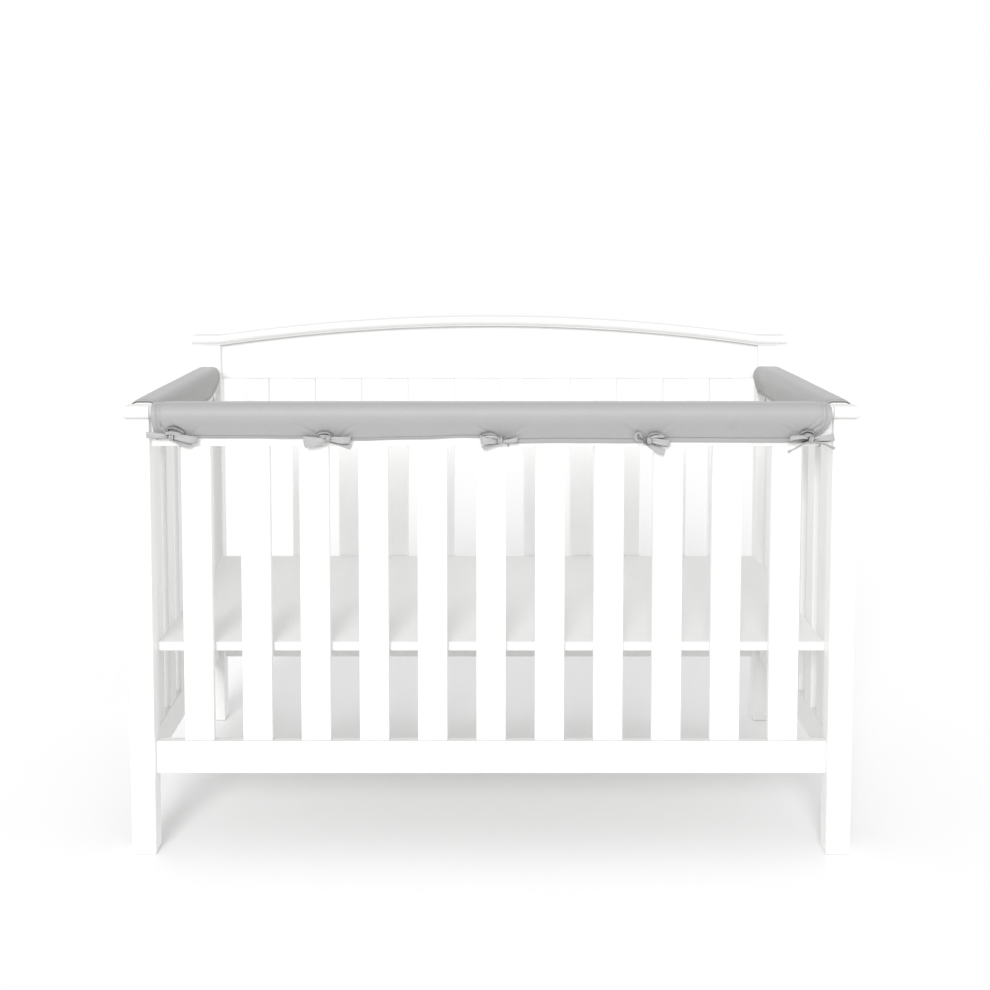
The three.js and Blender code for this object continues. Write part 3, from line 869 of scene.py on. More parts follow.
    def section(self, along: np.ndarray, marks: np.ndarray, side: Face) -> Section:
        """Walks over one side of the cloth from the ridge at each station.

        Out is the running sum of the cosine of the turn, and up is the ridge's height less the
        running sum of its sine, over 400 steps; the marks pick from them.

        Args:
            along: Stations in millimetres.
            marks: Shares of the side's length, from 0 at the ridge to 1 at the hem.
            side: Which side is walked.

        Returns:
            The side's grid.
        """
        row = self.row_at(along)
        is_face = side is Face.FACE
        length = (row["face"] if is_face else self.width - row["face"])[:, None]
        lean = (row["lean"] if is_face else row["back_lean"])[:, None]
        roll = row["roll"][:, None] * is_face
        loose = (row["loose"] if is_face else row["back_loose"])[:, None]
        steps = 400
        share = (np.arange(steps) + 0.5) / steps
        turn = self.turn_at(length * share, length, lean, roll, loose)
        zero = np.zeros((len(along), 1))
        out = np.hstack([zero, np.cumsum(np.cos(turn), axis=1)]) * length / steps
        up = -np.hstack([zero, np.cumsum(np.sin(turn), axis=1)]) * length / steps
        pick = np.round(marks * steps).astype(int)
        walked = length * marks
        return Section(
            out[:, pick],
            up[:, pick] + self.ridge_clear + 1.5,
            self.turn_at(walked, length, lean, roll, loose),
            walked,
            length,
        )

    def end_shift(self, along: np.ndarray, walked: np.ndarray) -> np.ndarray:
        """Works out how far along the rail the cloth is drawn in from the two ends.

        Each end draws its lower corners by its pull times a power of the cloth walked down the
        flap, and its ridge by its tuck. Both fade along the rail as falling exponentials.

        Args:
            along: Stations as a column.
            walked: Cloth from the ridge to each point.

        Returns:
            The grid of shifts in millimetres, rising along the rail.
        """
        low = np.maximum(0, (walked - self.flap_from) / (self.width / 2 - self.flap_from))
        top = np.maximum(0, 1 - walked / self.flap_from) ** 2
        shift = 0
        for end, away, sign in (
            (self.start, along - self.start.at, 1),
            (self.end, self.end.at - along, -1),
        ):
            corner = end.pull * low**end.bend * np.exp(-away / self.corner_fade)
            ridge = end.tuck * top * np.exp(-away / self.ridge_fade)
            shift = shift + sign * (corner + ridge)
        return shift

    def tie_dent(self, along: np.ndarray, part: Section) -> np.ndarray:
        """Works out how far the ties draw the lower flap in.

        The draw is a bell along the rail round each tie, and eases in from the cheek to the hem.

        Args:
            along: Stations as a column.
            part: The side's grid.

        Returns:
            The grid of draws in millimetres.
        """
        bell = np.exp(-(((along - np.array(self.ties)) / self.tie_draw_wide) ** 2))
        down = smooth((part.walked - 50) / (part.length - 50))
        return self.tie_draw * down * bell.max(axis=1, keepdims=True)

    def relief(self, along: np.ndarray, part: Section, side: Face) -> np.ndarray:
        """How far the cloth stands off its even form, in millimetres along its normal.

        It adds four things. Slow waves: sines along the rail, which grow down the free flap.
        Puckers: at each tie, a cosine of the angle round the knot times a falling exponential
        of the distance from it, and a bell pressed in under the knot. Creases: a bell across
        each with a lower ridge beside it, tapered to nothing at both ends. Seams: a valley
        under each row of stitches.

        Args:
            along: Stations as a column, in millimetres.
            part: The side's grid.
            side: Which side it is.

        Returns:
            The grid of heights in millimetres.
        """
        rng = np.random.default_rng(self.seed)
        hang = 0.25 + 0.75 * smooth((part.walked - 28) / 40)
        waves = np.zeros_like(part.walked)
        for length in self.wave_lengths:
            phase, slant = rng.uniform(0, 2 * np.pi), rng.uniform(-0.03, 0.03)
            waves += np.sin(2 * np.pi * along / length + phase + slant * part.walked)
        height = self.wave_high * hang * waves
        strength = 1.0 if side is Face.FACE else 0.5
        for tie in self.ties:
            rays, phase = rng.integers(8, 12), rng.uniform(0, 2 * np.pi)
            across, over = along - tie, part.length - 3 - part.walked
            away = np.hypot(across, over)
            angle = np.arctan2(across, over)
            ring = smooth((away - 3) / 6) * np.exp(-away / self.pucker_fade)
            height += strength * self.pucker_high * ring * np.cos(rays * angle + phase)
            height -= strength * 0.5 * np.exp(-((away / 9) ** 2))
        height += self.crease_relief(along, part.walked * side.value)
        return height - self.seam_deep * self.seam_share(*self.edge_distances(along, part), 1.5)

    def crease_relief(self, along: np.ndarray, over: np.ndarray) -> np.ndarray:
        """Works out the part of the relief that the table of creases gives.

        Args:
            along: Stations as a column.
            over: Cloth from the ridge to each point, minus on the inner side.

        Returns:
            The grid of heights in millimetres.
        """
        height = np.zeros_like(over)
        for x0, w0, x1, w1, deep, wide in self.creases:
            dx, dw = x1 - x0, w1 - w0
            length = np.hypot(dx, dw)
            share = ((along - x0) * dx + (over - w0) * dw) / length**2
            off = ((along - x0) * dw - (over - w0) * dx) / length
            fade = np.sqrt(np.clip(4 * share * (1 - share), 0, 1))
            dip = -np.exp(-((off / wide) ** 2)) + 0.6 * np.exp(-(((off - 2 * wide) / wide) ** 2))
            height += deep * fade * dip
        return height

    def edge_distances(self, along: np.ndarray, part: Section) -> tuple[np.ndarray, np.ndarray]:
        """How far each point of the cloth is from its hem and from its nearer end."""
        to_end = np.minimum(along - self.start.at, self.end.at - along)
        return part.length - part.walked, to_end + np.zeros_like(part.walked)

    def seam_share(self, to_hem: np.ndarray, to_end: np.ndarray, wide: float) -> np.ndarray:
        """Works out how near each point is to a seam, by a bell across the seam.

        One seam follows each hem. Two follow each end, the second one fainter.

        Args:
            to_hem: Distance of each point from its hem.
            to_end: Its distance from the nearer end.
            wide: The bell's width.

        Returns:
            Shares from 0 to 1.
        """
        band = (1 - self.stitch_share) * self.width / 2
        hem = np.exp(-(((to_hem - band) / wide) ** 2))
        end = np.exp(-(((to_end - self.end_band) / wide) ** 2))
        inner = 0.9 * np.exp(-(((to_end - 1.8 * self.end_band) / wide) ** 2))
        return np.maximum(hem, np.maximum(end, inner))

    def half_thickness(self, to_hem: np.ndarray, to_end: np.ndarray) -> np.ndarray:
        """Works out half the cloth's thickness.

        The padded body is thicker than the flat bands round it. Each seam presses a groove, and
        the edge is a quarter circle.

        Args:
            to_hem: Distance of each point from its hem.
            to_end: Its distance from the nearer end.

        Returns:
            Half thicknesses in millimetres.
        """
        band = (1 - self.stitch_share) * self.width / 2
        near = np.minimum(to_hem - band, to_end - self.end_band)
        thick = self.band_half + (self.body_half - self.band_half) * smooth(near / 2.0 + 0.1)
        edge = np.clip(np.minimum(to_hem, to_end) / self.edge_round, 0, 1)
        seam = self.groove * self.seam_share(to_hem, to_end, 0.9)
        return (thick - seam) * np.sqrt(1 - (1 - edge) ** 2)

    def side_grid(
        self, along: np.ndarray, marks: np.ndarray, side: Face
    ) -> tuple[np.ndarray, np.ndarray, np.ndarray, np.ndarray]:
        """One side of the cover as arrays.

        Args:
            along: Stations in millimetres.
            marks: Shares of the side from the ridge.
            side: Which side.

        Returns:
            Middle points in metres, unit normals, half thicknesses in metres, and cloth
            coordinates in metres.
        """
        part = self.section(along, marks, side)
        column = along[:, None]
        out = part.out - self.tie_dent(column, part)
        height = self.relief(column, part, side)
        normal_out, normal_up = np.sin(part.turn), np.cos(part.turn)
        shifted = column + self.end_shift(column, part.walked)
        to_hem, to_end = self.edge_distances(column, part)
        drop = self.end_drop * np.exp(-((to_end / self.end_drop_wide) ** 2))
        middle = self.rail.place(
            shifted,
            side.value * (out + normal_out * height),
            part.up + normal_up * height - drop,
        )
        normal = self.rail.direction(np.zeros_like(out), side.value * normal_out, normal_up)
        half = self.half_thickness(to_hem, to_end)
        cloth = np.stack(
            np.broadcast_arrays(column * MM, side.value * part.walked * MM), axis=-1
        )
        return middle, normal, half * MM, cloth

    def marks(self, bends: int, flap: int, band: int) -> np.ndarray:
        """Chooses where a side is sampled, closer at the seam and at the hem's edge.

        Args:
            bends: How many samples go over the ridge and the bends.
            flap: How many go down the free flap.
            band: How many lie between the seam and the hem's edge.

        Returns:
            Rising shares of the side, from 0 at the ridge to 1 at the hem.
        """
        seam = self.stitch_share
        return np.concatenate(
            [
                np.linspace(0, 0.6, bends, endpoint=False),
                np.linspace(0.6, 0.88, flap, endpoint=False),
                [0.88, seam - 0.0125, seam - 0.005, seam, seam + 0.0075, seam + 0.015],
                np.linspace(0.93, 0.985, band, endpoint=False),
                [0.985, 0.9925, 0.9975, 1.0],
            ]
        )

    def build(self, cloth: bpy.types.Material, thread: bpy.types.Material) -> bpy.types.Object:
        """Makes the cover and its stitches.

        Args:
            cloth: The cover's finish.
            thread: The stitches' finish.

        Returns:
            The cover's object.
        """
        along = self.stations()
        face = self.side_grid(along, self.marks(24, 20, 4), Face.FACE)
        back = self.side_grid(along, self.marks(20, 12, 3), Face.BACK)
        middle, normal, half, uv = (
            np.concatenate([one[:, ::-1], other[:, 1:]], axis=1) for one, other in zip(face, back)
        )
        self.piece = make_cloth(self.name, two_sided(middle, normal, half, half, uv), cloth)
        stand_for(self.piece, Slot.COVER, self.node)
        stitches = self.stitches()
        sewn = make_cloth(f"{self.name}_stitches", stitches, thread)
        stand_for(sewn, Slot.COVER)
        return self.piece

    def stitches(self) -> Surface:
        """Makes every stitch: along both hems and across both ends.

        Each lies along the line from one stitch to the next, on the seam's groove.

        Returns:
            The stitches as one surface.
        """
        lines = []
        run = np.arange(self.start.at + 4, self.end.at - 4, self.stitch_pitch)
        for side in Face:
            middle, normal, half, _ = self.side_grid(run, np.array([self.stitch_share]), side)
            lines.append((middle[:, 0] + normal[:, 0] * half[:, 0, None], normal[:, 0]))
        shares = np.arange(0.02, 0.98, self.stitch_pitch / (self.width / 2))
        for at in (self.start.at + self.end_band, self.end.at - self.end_band):
            for side in Face:
                middle, normal, half, _ = self.side_grid(np.array([at]), shares, side)
                lines.append((middle[0] + normal[0] * half[0, :, None], normal[0]))
        return joined([stitch_row(points, normals) for points, normals in lines])


STITCH_LONG = 2.3
STITCH_WIDE = 0.6
STITCH_HIGH = 0.5
STITCH_PROUD = 0.1  # a stitch's middle above the cloth


def stitch_row(points: np.ndarray, normals: np.ndarray) -> Surface:
    """Makes a row of stitches on points of a seam.

    A stitch is a pillow: across a square grid (a, b) from -1 to 1 its half thickness is the
    square root of (1 - a squared)(1 - b squared).

    Args:
        points: The stitches' middles in metres.
        normals: Unit normals of the cloth there.

    Returns:
        All the stitches.
    """
    a, b = np.meshgrid(np.linspace(-1, 1, 5), np.linspace(-1, 1, 4), indexing="ij")
    half = STITCH_HIGH / 2 * MM * np.sqrt(np.clip((1 - a**2) * (1 - b**2), 0, 1))
    proud = np.full_like(a, STITCH_PROUD)
    flat = np.stack([a * STITCH_LONG / 2, b * STITCH_WIDE / 2, proud], axis=-1) * MM
    upright = np.zeros_like(flat)
    upright[..., 2] = 1
    one = two_sided(flat, upright, half, half, np.stack([a, b], axis=-1) * MM)
    ahead = unit(np.gradient(points, axis=0))
    side = unit(np.cross(normals, ahead))
    axes = np.stack([ahead, side, normals], axis=1)
    placed = points[:, None] + np.einsum("pk,nkx->npx", one.points, axes)
    count = len(points)
    starts = np.arange(count)[:, None, None] * len(one.points)
    return Surface(
        placed.reshape(-1, 3),
        (one.faces[None] + starts).reshape(-1, 4),
        np.tile(one.corner_uv, (count, 1, 1)),
    )


# Ties


Row = tuple[float, float, float, float, float, float]


@dataclass(frozen=True)
class Bow:
    """One bow: where it is tied, and the strips that it is made of.

    Each strip is a line of rows from the knot. A row gives a point from the knot (along, out,
    up), the strip's width there, the direction of that width in degrees from along towards up,
    and how far the width is turned towards out, in degrees.
    """

    at: float  # the knot's place along the rail
    under: float  # where the strap goes under the rail
    up: float  # the knot's height from the rail's top
    slant: float  # the knot's lean in radians
    strips: tuple[tuple[Row, ...], ...]


def rounded(points: np.ndarray, times: int) -> np.ndarray:
    """Cuts the corners of a line: each stretch keeps its middle half, several times over.

    Args:
        points: The line's rows.
        times: How often the corners are cut.

    Returns:
        A smoother line of more rows between the same two ends.
    """
    for _ in range(times):
        first = points[:-1] * 0.75 + points[1:] * 0.25
        second = points[:-1] * 0.25 + points[1:] * 0.75
        inner = np.stack([first, second], axis=1).reshape(-1, points.shape[1])
        points = np.concatenate([points[:1], inner, points[-1:]])
    return points


@dataclass
class Tie:
    """A narrow folded strip that goes from the back hem under the rail to a bow."""

    name: str
    node: str
    rail: RailFrame
    bow: Bow
    seed: int
    bow_out: float = 27.5  # the knot's middle out from the rail's
    wide: float = 12.5  # folded and sewn, before it is scrunched
    thick: float = 1.4
    step: float = 1.1  # along a strip
    fold_seam: float = 0.76  # each folded edge's stitches, as a share of half the width
    cup: float = 0.35
    crinkle: float = 0.25
    pleat: float = 0.9
    pleat_fade: float = 13.0
    wrap_half: tuple[float, float] = (4.7, 7.0)  # the band round the knot, out and up
    core_half: tuple[float, float, float] = (6.4, 3.9, 6.2)  # the cloth in it, along, out, up
    length: float = field(default=0.0, init=False)  # of all strips made so far

    @property
    def knot(self) -> np.ndarray:
        """The knot's middle in (along, out, up)."""
        return np.array([self.bow.at, self.bow_out, self.bow.up])

    def profile(self, at: np.ndarray, shares: np.ndarray) -> np.ndarray:
        """Works out half the strip's thickness.

        Across the strip, at a share s of its half width, it is the square root of (1 - s to the
        eighth), less a groove where each folded edge is sewn. Each end is a quarter circle.

        Args:
            at: Places along the strip.
            shares: Shares of the half width, from -1 to 1.

        Returns:
            The grid of half thicknesses in millimetres.
        """
        ends = np.clip(np.minimum(at, at[-1] - at) / (self.thick / 2), 0, 1)
        groove = 0.35 * np.exp(-(((np.abs(shares) - self.fold_seam) / 0.05) ** 2))
        across = np.sqrt(1 - np.abs(shares) ** 8) * (1 - groove)
        return self.thick / 2 * across * np.sqrt(1 - (1 - ends[:, None]) ** 2)

    def ribbon(self, rows: np.ndarray, times: int = 4) -> Surface:
        """Runs the folded strip along rows of (along, out, up, width, lie, turn).

        Near the knot the strip is pleated by a cosine across it, and all along it cups by the
        square of its share across and crinkles by slow sines.

        Args:
            rows: The strip's rows in millimetres and degrees, the point from the rail's frame.
            times: How often its corners are cut.

        Returns:
            The strip as a closed surface in the crib's frame.
        """
        rng = np.random.default_rng(self.seed * 31 + int(self.length))
        line = rounded(np.asarray(rows, dtype=float), times)
        run = np.linalg.norm(np.diff(line[:, :3], axis=0), axis=1)
        run = np.concatenate([[0], np.cumsum(run)])
        self.length += run[-1]
        evenly = np.linspace(0.8, run[-1] - 0.8, max(8, int(run[-1] / self.step)))
        edge = np.array([0, 0.15, 0.45])
        at = np.concatenate([edge, evenly, run[-1] - edge[::-1]])
        line = np.stack([np.interp(at, run, column) for column in line.T], axis=-1)
        path, wide, (lie, turn) = line[:, :3], line[:, 3], np.radians(line[:, 4:].T)
        flat = [np.cos(lie) * np.cos(turn), np.sin(turn), np.sin(lie) * np.cos(turn)]
        flat = np.stack(flat, axis=-1)
        proud = unit(np.cross(np.gradient(path, at, axis=0), flat))
        shares = np.array([0, 0.15, 0.3, 0.45, 0.6, 0.7, 0.76, 0.82, 0.9, 0.96, 0.99, 1.0])
        shares = np.concatenate([-shares[:0:-1], shares])
        phase = rng.uniform(0, 2 * np.pi, 3)
        column = at[:, None]
        off = self.cup * (shares**2 - 0.4) * np.sin(column / 9 + phase[0])
        off = off + self.crinkle * np.sin(column / 4.5 + phase[1] + 1.6 * shares)
        near = np.exp(-np.linalg.norm(path - self.knot, axis=1)[:, None] / self.pleat_fade)
        off = off + self.pleat * near * np.cos(1.6 * np.pi * shares + phase[2])
        middle = path[:, None] + flat[:, None] * (shares[:, None] * wide[:, None, None] / 2)
        middle = middle + off[..., None] * proud[:, None]
        placed = self.rail.place(*np.moveaxis(middle, -1, 0))
        normal = self.rail.direction(*np.moveaxis(proud, -1, 0))
        normal = np.broadcast_to(normal[:, None], placed.shape)
        half = self.profile(at, shares) * MM
        cloth = np.stack(np.broadcast_arrays(column, shares * self.wide / 2), axis=-1) * MM
        return two_sided(placed, normal, half, half, cloth)

    def wrap(self) -> Surface:
        """Makes the band round the knot: one turn and a bit of an ellipse in (out, up).

        Returns:
            The band as a strip.
        """
        turn = np.linspace(-215, 165, 48)
        angle = np.radians(turn)
        rows = np.zeros((len(turn), 6))
        rows[:, :3] = self.knot
        rows[:, 0] += 1.4 * np.sin(angle / 2) - self.bow.slant * 5 * np.sin(angle)
        rows[:, 1] += self.wrap_half[0] * np.cos(angle)
        rows[:, 2] += self.wrap_half[1] * np.sin(angle)
        rows[:, 3] = 8.5 + 1.5 * np.cos(2 * angle)
        rows[:, 4] = math.degrees(self.bow.slant)
        return self.ribbon(rows, 1)

    def core(self) -> Surface:
        """Makes the gathered cloth inside the knot: half an ellipsoid on each side.

        A square grid (u, v) is drawn to a disc: across is u times the square root of (1 - v
        squared over 2), and up is the same with the two changed over.

        Returns:
            The pillow as a closed surface.
        """
        u, v = np.meshgrid(np.linspace(-1, 1, 13), np.linspace(-1, 1, 13), indexing="ij")
        across, height = u * np.sqrt(1 - v**2 / 2), v * np.sqrt(1 - u**2 / 2)
        half_along, half_out, half_up = self.core_half
        half = half_out * np.sqrt(np.clip(1 - across**2 - height**2, 0, 1))
        half[[0, -1]] = 0
        half[:, [0, -1]] = 0
        at, out, up = self.knot
        middle = self.rail.place(
            at + half_along * across, np.full_like(u, out), up + half_up * height
        )
        normal = self.rail.direction(np.zeros_like(u), np.ones_like(u), np.zeros_like(u))
        cloth = np.stack([u, v], axis=-1) * 6 * MM
        return two_sided(middle, normal, half * MM, half * MM, cloth)

    def strap(self) -> Surface:
        """Makes the strap, from the back hem under the rail to the knot, where it narrows.

        Returns:
            The strap as a strip.
        """
        under, (at, out, up) = self.bow.under, self.knot
        rows = [
            (under, -16.5, -68, 8, 0, 0),
            (under, -15.6, -78.0, 7, 0, 0),
            (under, -12.6, -80.9, 6, 0, 0),
            (under, 12.0, -80.7, 3, 0, 0),
            (under, 12.8, -78.5, 2.2, 0, 0),
            (under, 13.6, -72, 2.2, 0, 0),
            (under + (at - under) * 0.3, 20, up - 1, 3.6, 0, 0),
            (at, 24, up, 4, 0, 0),
            (at, out - 1, up, 4.5, 0, 0),
        ]
        return self.ribbon(np.array(rows), 3)

    def build(self, cloth: bpy.types.Material, cover: bpy.types.Object) -> bpy.types.Object:
        """Args:
            cloth: The tie's finish.
            cover: Not used.

        Returns:
            The tie's object.
        """
        parts = [self.strap(), self.wrap(), self.core()]
        place = np.array([*self.knot, 0, 0, 0])
        parts += [self.ribbon(np.array(strip) + place) for strip in self.bow.strips]
        piece = make_cloth(self.name, joined(parts), cloth)
        stand_for(piece, Slot.TIE, self.node)
        return piece


# Woodwork


BOX_FACES = ((0, 3, 2, 1), (4, 5, 6, 7), (0, 1, 5, 4), (1, 2, 6, 5), (2, 3, 7, 6), (3, 0, 4, 7))


def box_points(low: Sequence[float], high: Sequence[float]) -> np.ndarray:
    """The eight corners of a box, lower four first, each four anticlockwise from above."""
    (x0, y0, z0), (x1, y1, z1) = low, high
    return np.array([(x, y, z) for z in (z0, z1) for x, y in ((x0, y0), (x1, y0), (x1, y1), (x0, y1))])


def ease_edges(thing: bpy.types.Object, radius_mm: float, segments: int = 3) -> None:
    """Rounds a piece's sharp edges, as a router or sandpaper leaves them.

    Args:
        thing: The piece.
        radius_mm: The edges' radius.
        segments: How many flats make up a rounded edge.
    """
    bevel = thing.modifiers.new("eased_edges", "BEVEL")
    bevel.width = radius_mm * MM
    bevel.segments = segments
    bevel.limit_method = "ANGLE"
    bevel.angle_limit = math.radians(35)
    bevel.harden_normals = True


@dataclass
class Boards:
    """Square-sawn boards that stay where their nodes are, with eased edges."""

    nodes: tuple[str, ...]
    grain: Grain
    ease_mm: float = 2.5

    def build(self, paint: dict[Grain, bpy.types.Material]) -> None:
        """Makes one piece for each node from the node's own box.

        Args:
            paint: The paint for each way that the grain runs.
        """
        for node in self.nodes:
            low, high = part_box(node)
            piece = make_object(f"{node}_board", box_points(low, high), BOX_FACES, paint[self.grain])
            ease_edges(piece, self.ease_mm)
            stand_for(piece, Slot.PAINT, node)


@dataclass
class SidePanel:
    """A bottom rail and the upright slats that stand in it, on one side of the crib."""

    node: str
    slats: int = 6
    slat_wide: float = 58.0
    slat_thick: float = 20.0
    rail_high: float = 65.0
    sunk: float = 1.0
    ease_mm: float = 2.5

    def build(self, paint: dict[Grain, bpy.types.Material]) -> None:
        """Makes the panel: slats at even spaces, each a box, on a box of a rail.

        Args:
            paint: The paint for each way that the grain runs.
        """
        low, high = (np.array(corner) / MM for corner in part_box(self.node))
        x = (low[0] + high[0]) / 2
        span = high[1] - low[1]
        space = (span - self.slats * self.slat_wide) / (self.slats + 1)
        rail_top = low[2] + self.rail_high
        boxes = [box_points(low, (high[0], high[1], rail_top))]
        for k in range(self.slats):
            y = low[1] + space + k * (space + self.slat_wide)
            near = (x - self.slat_thick / 2, y, rail_top - self.sunk)
            far = (x + self.slat_thick / 2, y + self.slat_wide, high[2])
            boxes.append(box_points(near, far))
        faces = [[k + 8 * n for k in face] for n in range(len(boxes)) for face in BOX_FACES]
        piece = make_object(
            f"{self.node}_slats", np.concatenate(boxes) * MM, faces, paint[Grain.Z]
        )
        ease_edges(piece, self.ease_mm)
        stand_for(piece, Slot.PAINT, self.node)


def swept(
    profile: np.ndarray, path: np.ndarray, across: np.ndarray, name: str, paint: bpy.types.Material
) -> bpy.types.Object:
    """Carries a closed profile along a path, with a flat end at each side.

    Point (i, j) is the path's point i plus `across` times the profile's first number j, plus up
    times its second.

    Args:
        profile: Closed outline in (across, up), anticlockwise seen against the path.
        path: Points in millimetres.
        across: Unit vector square to the path and to up.
        name: The piece's name.
        paint: Its finish.

    Returns:
        The new object.
    """
    rows, count = len(path), len(profile)
    points = path[:, None] + across * profile[None, :, :1]
    points[..., 2] += profile[None, :, 1]
    number = np.arange(rows * count).reshape(rows, count)
    quads = grid_quads(np.hstack([number, number[:, :1]]))
    if np.cross(across, (0, 0, 1)) @ (path[-1] - path[0]) > 0:
        faces = [*quads[:, ::-1].tolist(), number[0][::-1].tolist(), number[-1].tolist()]
    else:
        faces = [*quads.tolist(), number[0].tolist(), number[-1][::-1].tolist()]
    return make_object(name, points.reshape(-1, 3) * MM, faces, paint)


@dataclass
class CappedRail:
    """A top rail: a bull-nosed cap on a narrower board."""

    node: str
    grain: Grain
    cap_thick: float = 25.0
    cap_wide: float = 48.0
    board_thick: float = 22.0
    board_deep: float = 54.0

    def profile(self) -> np.ndarray:
        """Draws the rail's outline in (across, up), its top at 0.

        Each edge of the cap is half a circle, and the board hangs from its middle.

        Returns:
            The outline's points, anticlockwise.
        """
        radius = self.cap_thick / 2
        flat = self.cap_wide / 2 - radius
        board = self.board_thick / 2
        turn = np.radians(np.linspace(-90, 90, 17))
        nose = np.stack([flat + radius * np.cos(turn), radius * np.sin(turn) - radius], axis=-1)
        right = [(board, -self.cap_thick - self.board_deep), (board, -self.cap_thick)]
        half = np.concatenate([right, nose])
        return np.concatenate([half, half[::-1] * (-1, 1)])

    def build(self, paint: dict[Grain, bpy.types.Material]) -> None:
        """Makes the rail from end to end of its node's box.

        Args:
            paint: The paint for each way that the grain runs.
        """
        low, high = (np.array(corner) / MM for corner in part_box(self.node))
        axis = self.grain.value
        path = np.tile((low + high) / 2, (2, 1))
        path[:, axis] = (low[axis], high[axis])
        path[:, 2] = high[2]
        across = np.array([0.0, 1.0, 0.0]) if self.grain is Grain.X else np.array([1.0, 0.0, 0.0])
        piece = swept(self.profile(), path, across, f"{self.node}_capped", paint[self.grain])
        ease_edges(piece, 1.2, 2)
        stand_for(piece, Slot.PAINT, self.node)


@dataclass
class Headboard:
    """The back's arched panel and the crown moulding over it."""

    arch_high: float = 47.5
    arch_half: float = 663.0
    crown_half: float = 733.0
    crown_low: float = 947.5
    crown_thick: float = 23.0
    crown_deep: float = 62.0
    nose_radius: float = 5.0
    cove_deep: float = 6.0
    panel_low: float = 864.0
    panel_thick: float = 22.0
    middle_y: float = 365.5
    gap: float = 0.3

    def arch(self, x: np.ndarray) -> np.ndarray:
        """The crown's underside: level past the posts, and between them a low parabola."""
        share = np.clip(np.abs(x) / self.arch_half, 0, 1)
        return self.crown_low + self.arch_high * (1 - share**2)

    def crown_profile(self) -> np.ndarray:
        """Draws the moulding in (across, up): a cove under a nosed top edge, on both sides.

        The cove is a parabola from the foot out to the crown's full depth, and the nose is a
        quarter circle.

        Returns:
            The outline's points, anticlockwise.
        """
        side, radius = self.crown_deep / 2, self.nose_radius
        share = np.linspace(0, 1, 7)
        cove = np.stack([side - self.cove_deep * (1 - share) ** 2, 11 * share + 2], axis=-1)
        turn = np.radians(np.linspace(0, 90, 6))
        circle = radius * np.stack([np.cos(turn), np.sin(turn)], axis=-1)
        nose = (side - radius, self.crown_thick - radius) + circle
        half = np.concatenate([[(side - self.cove_deep, 0.0)], cove, nose])
        return np.concatenate([half, half[::-1] * (-1, 1)])

    def build(self, paint: dict[Grain, bpy.types.Material]) -> None:
        """Makes the panel between its posts and the crown along its arch.

        Args:
            paint: The paint for each way that the grain runs.
        """
        x = np.linspace(-self.arch_half, self.arch_half, 81)
        x = np.concatenate([[-self.crown_half], x, [self.crown_half]])
        path = np.stack([x, np.full_like(x, self.middle_y), self.arch(x)], axis=-1)
        across = np.array([0.0, 1.0, 0.0])
        crown = swept(self.crown_profile(), path, across, "headboard_crown_moulded", paint[Grain.X])
        ease_edges(crown, 0.8, 2)
        stand_for(crown, Slot.PAINT, "headboard_crown")
        x = np.linspace(-self.arch_half + self.gap, self.arch_half - self.gap, 61)
        top = self.arch(x) - self.gap
        near, far = self.middle_y - self.panel_thick / 2, self.middle_y + self.panel_thick / 2
        rings = [
            np.stack([x, np.full_like(x, y), z], axis=-1)
            for y, z in ((near, np.full_like(x, self.panel_low)), (near, top), (far, top))
        ]
        rings.append(np.stack([x, np.full_like(x, far), np.full_like(x, self.panel_low)], axis=-1))
        points = np.stack(rings, axis=1)
        number = np.arange(points.shape[0] * 4).reshape(-1, 4)
        quads = grid_quads(np.hstack([number, number[:, :1]]))
        faces = [*quads[:, ::-1].tolist(), number[0].tolist(), number[-1][::-1].tolist()]
        panel = make_object("headboard_panel_arched", points.reshape(-1, 3) * MM, faces, paint[Grain.X])
        ease_edges(panel, 1.5, 2)
        stand_for(panel, Slot.PAINT, "headboard_panel")


# Studio


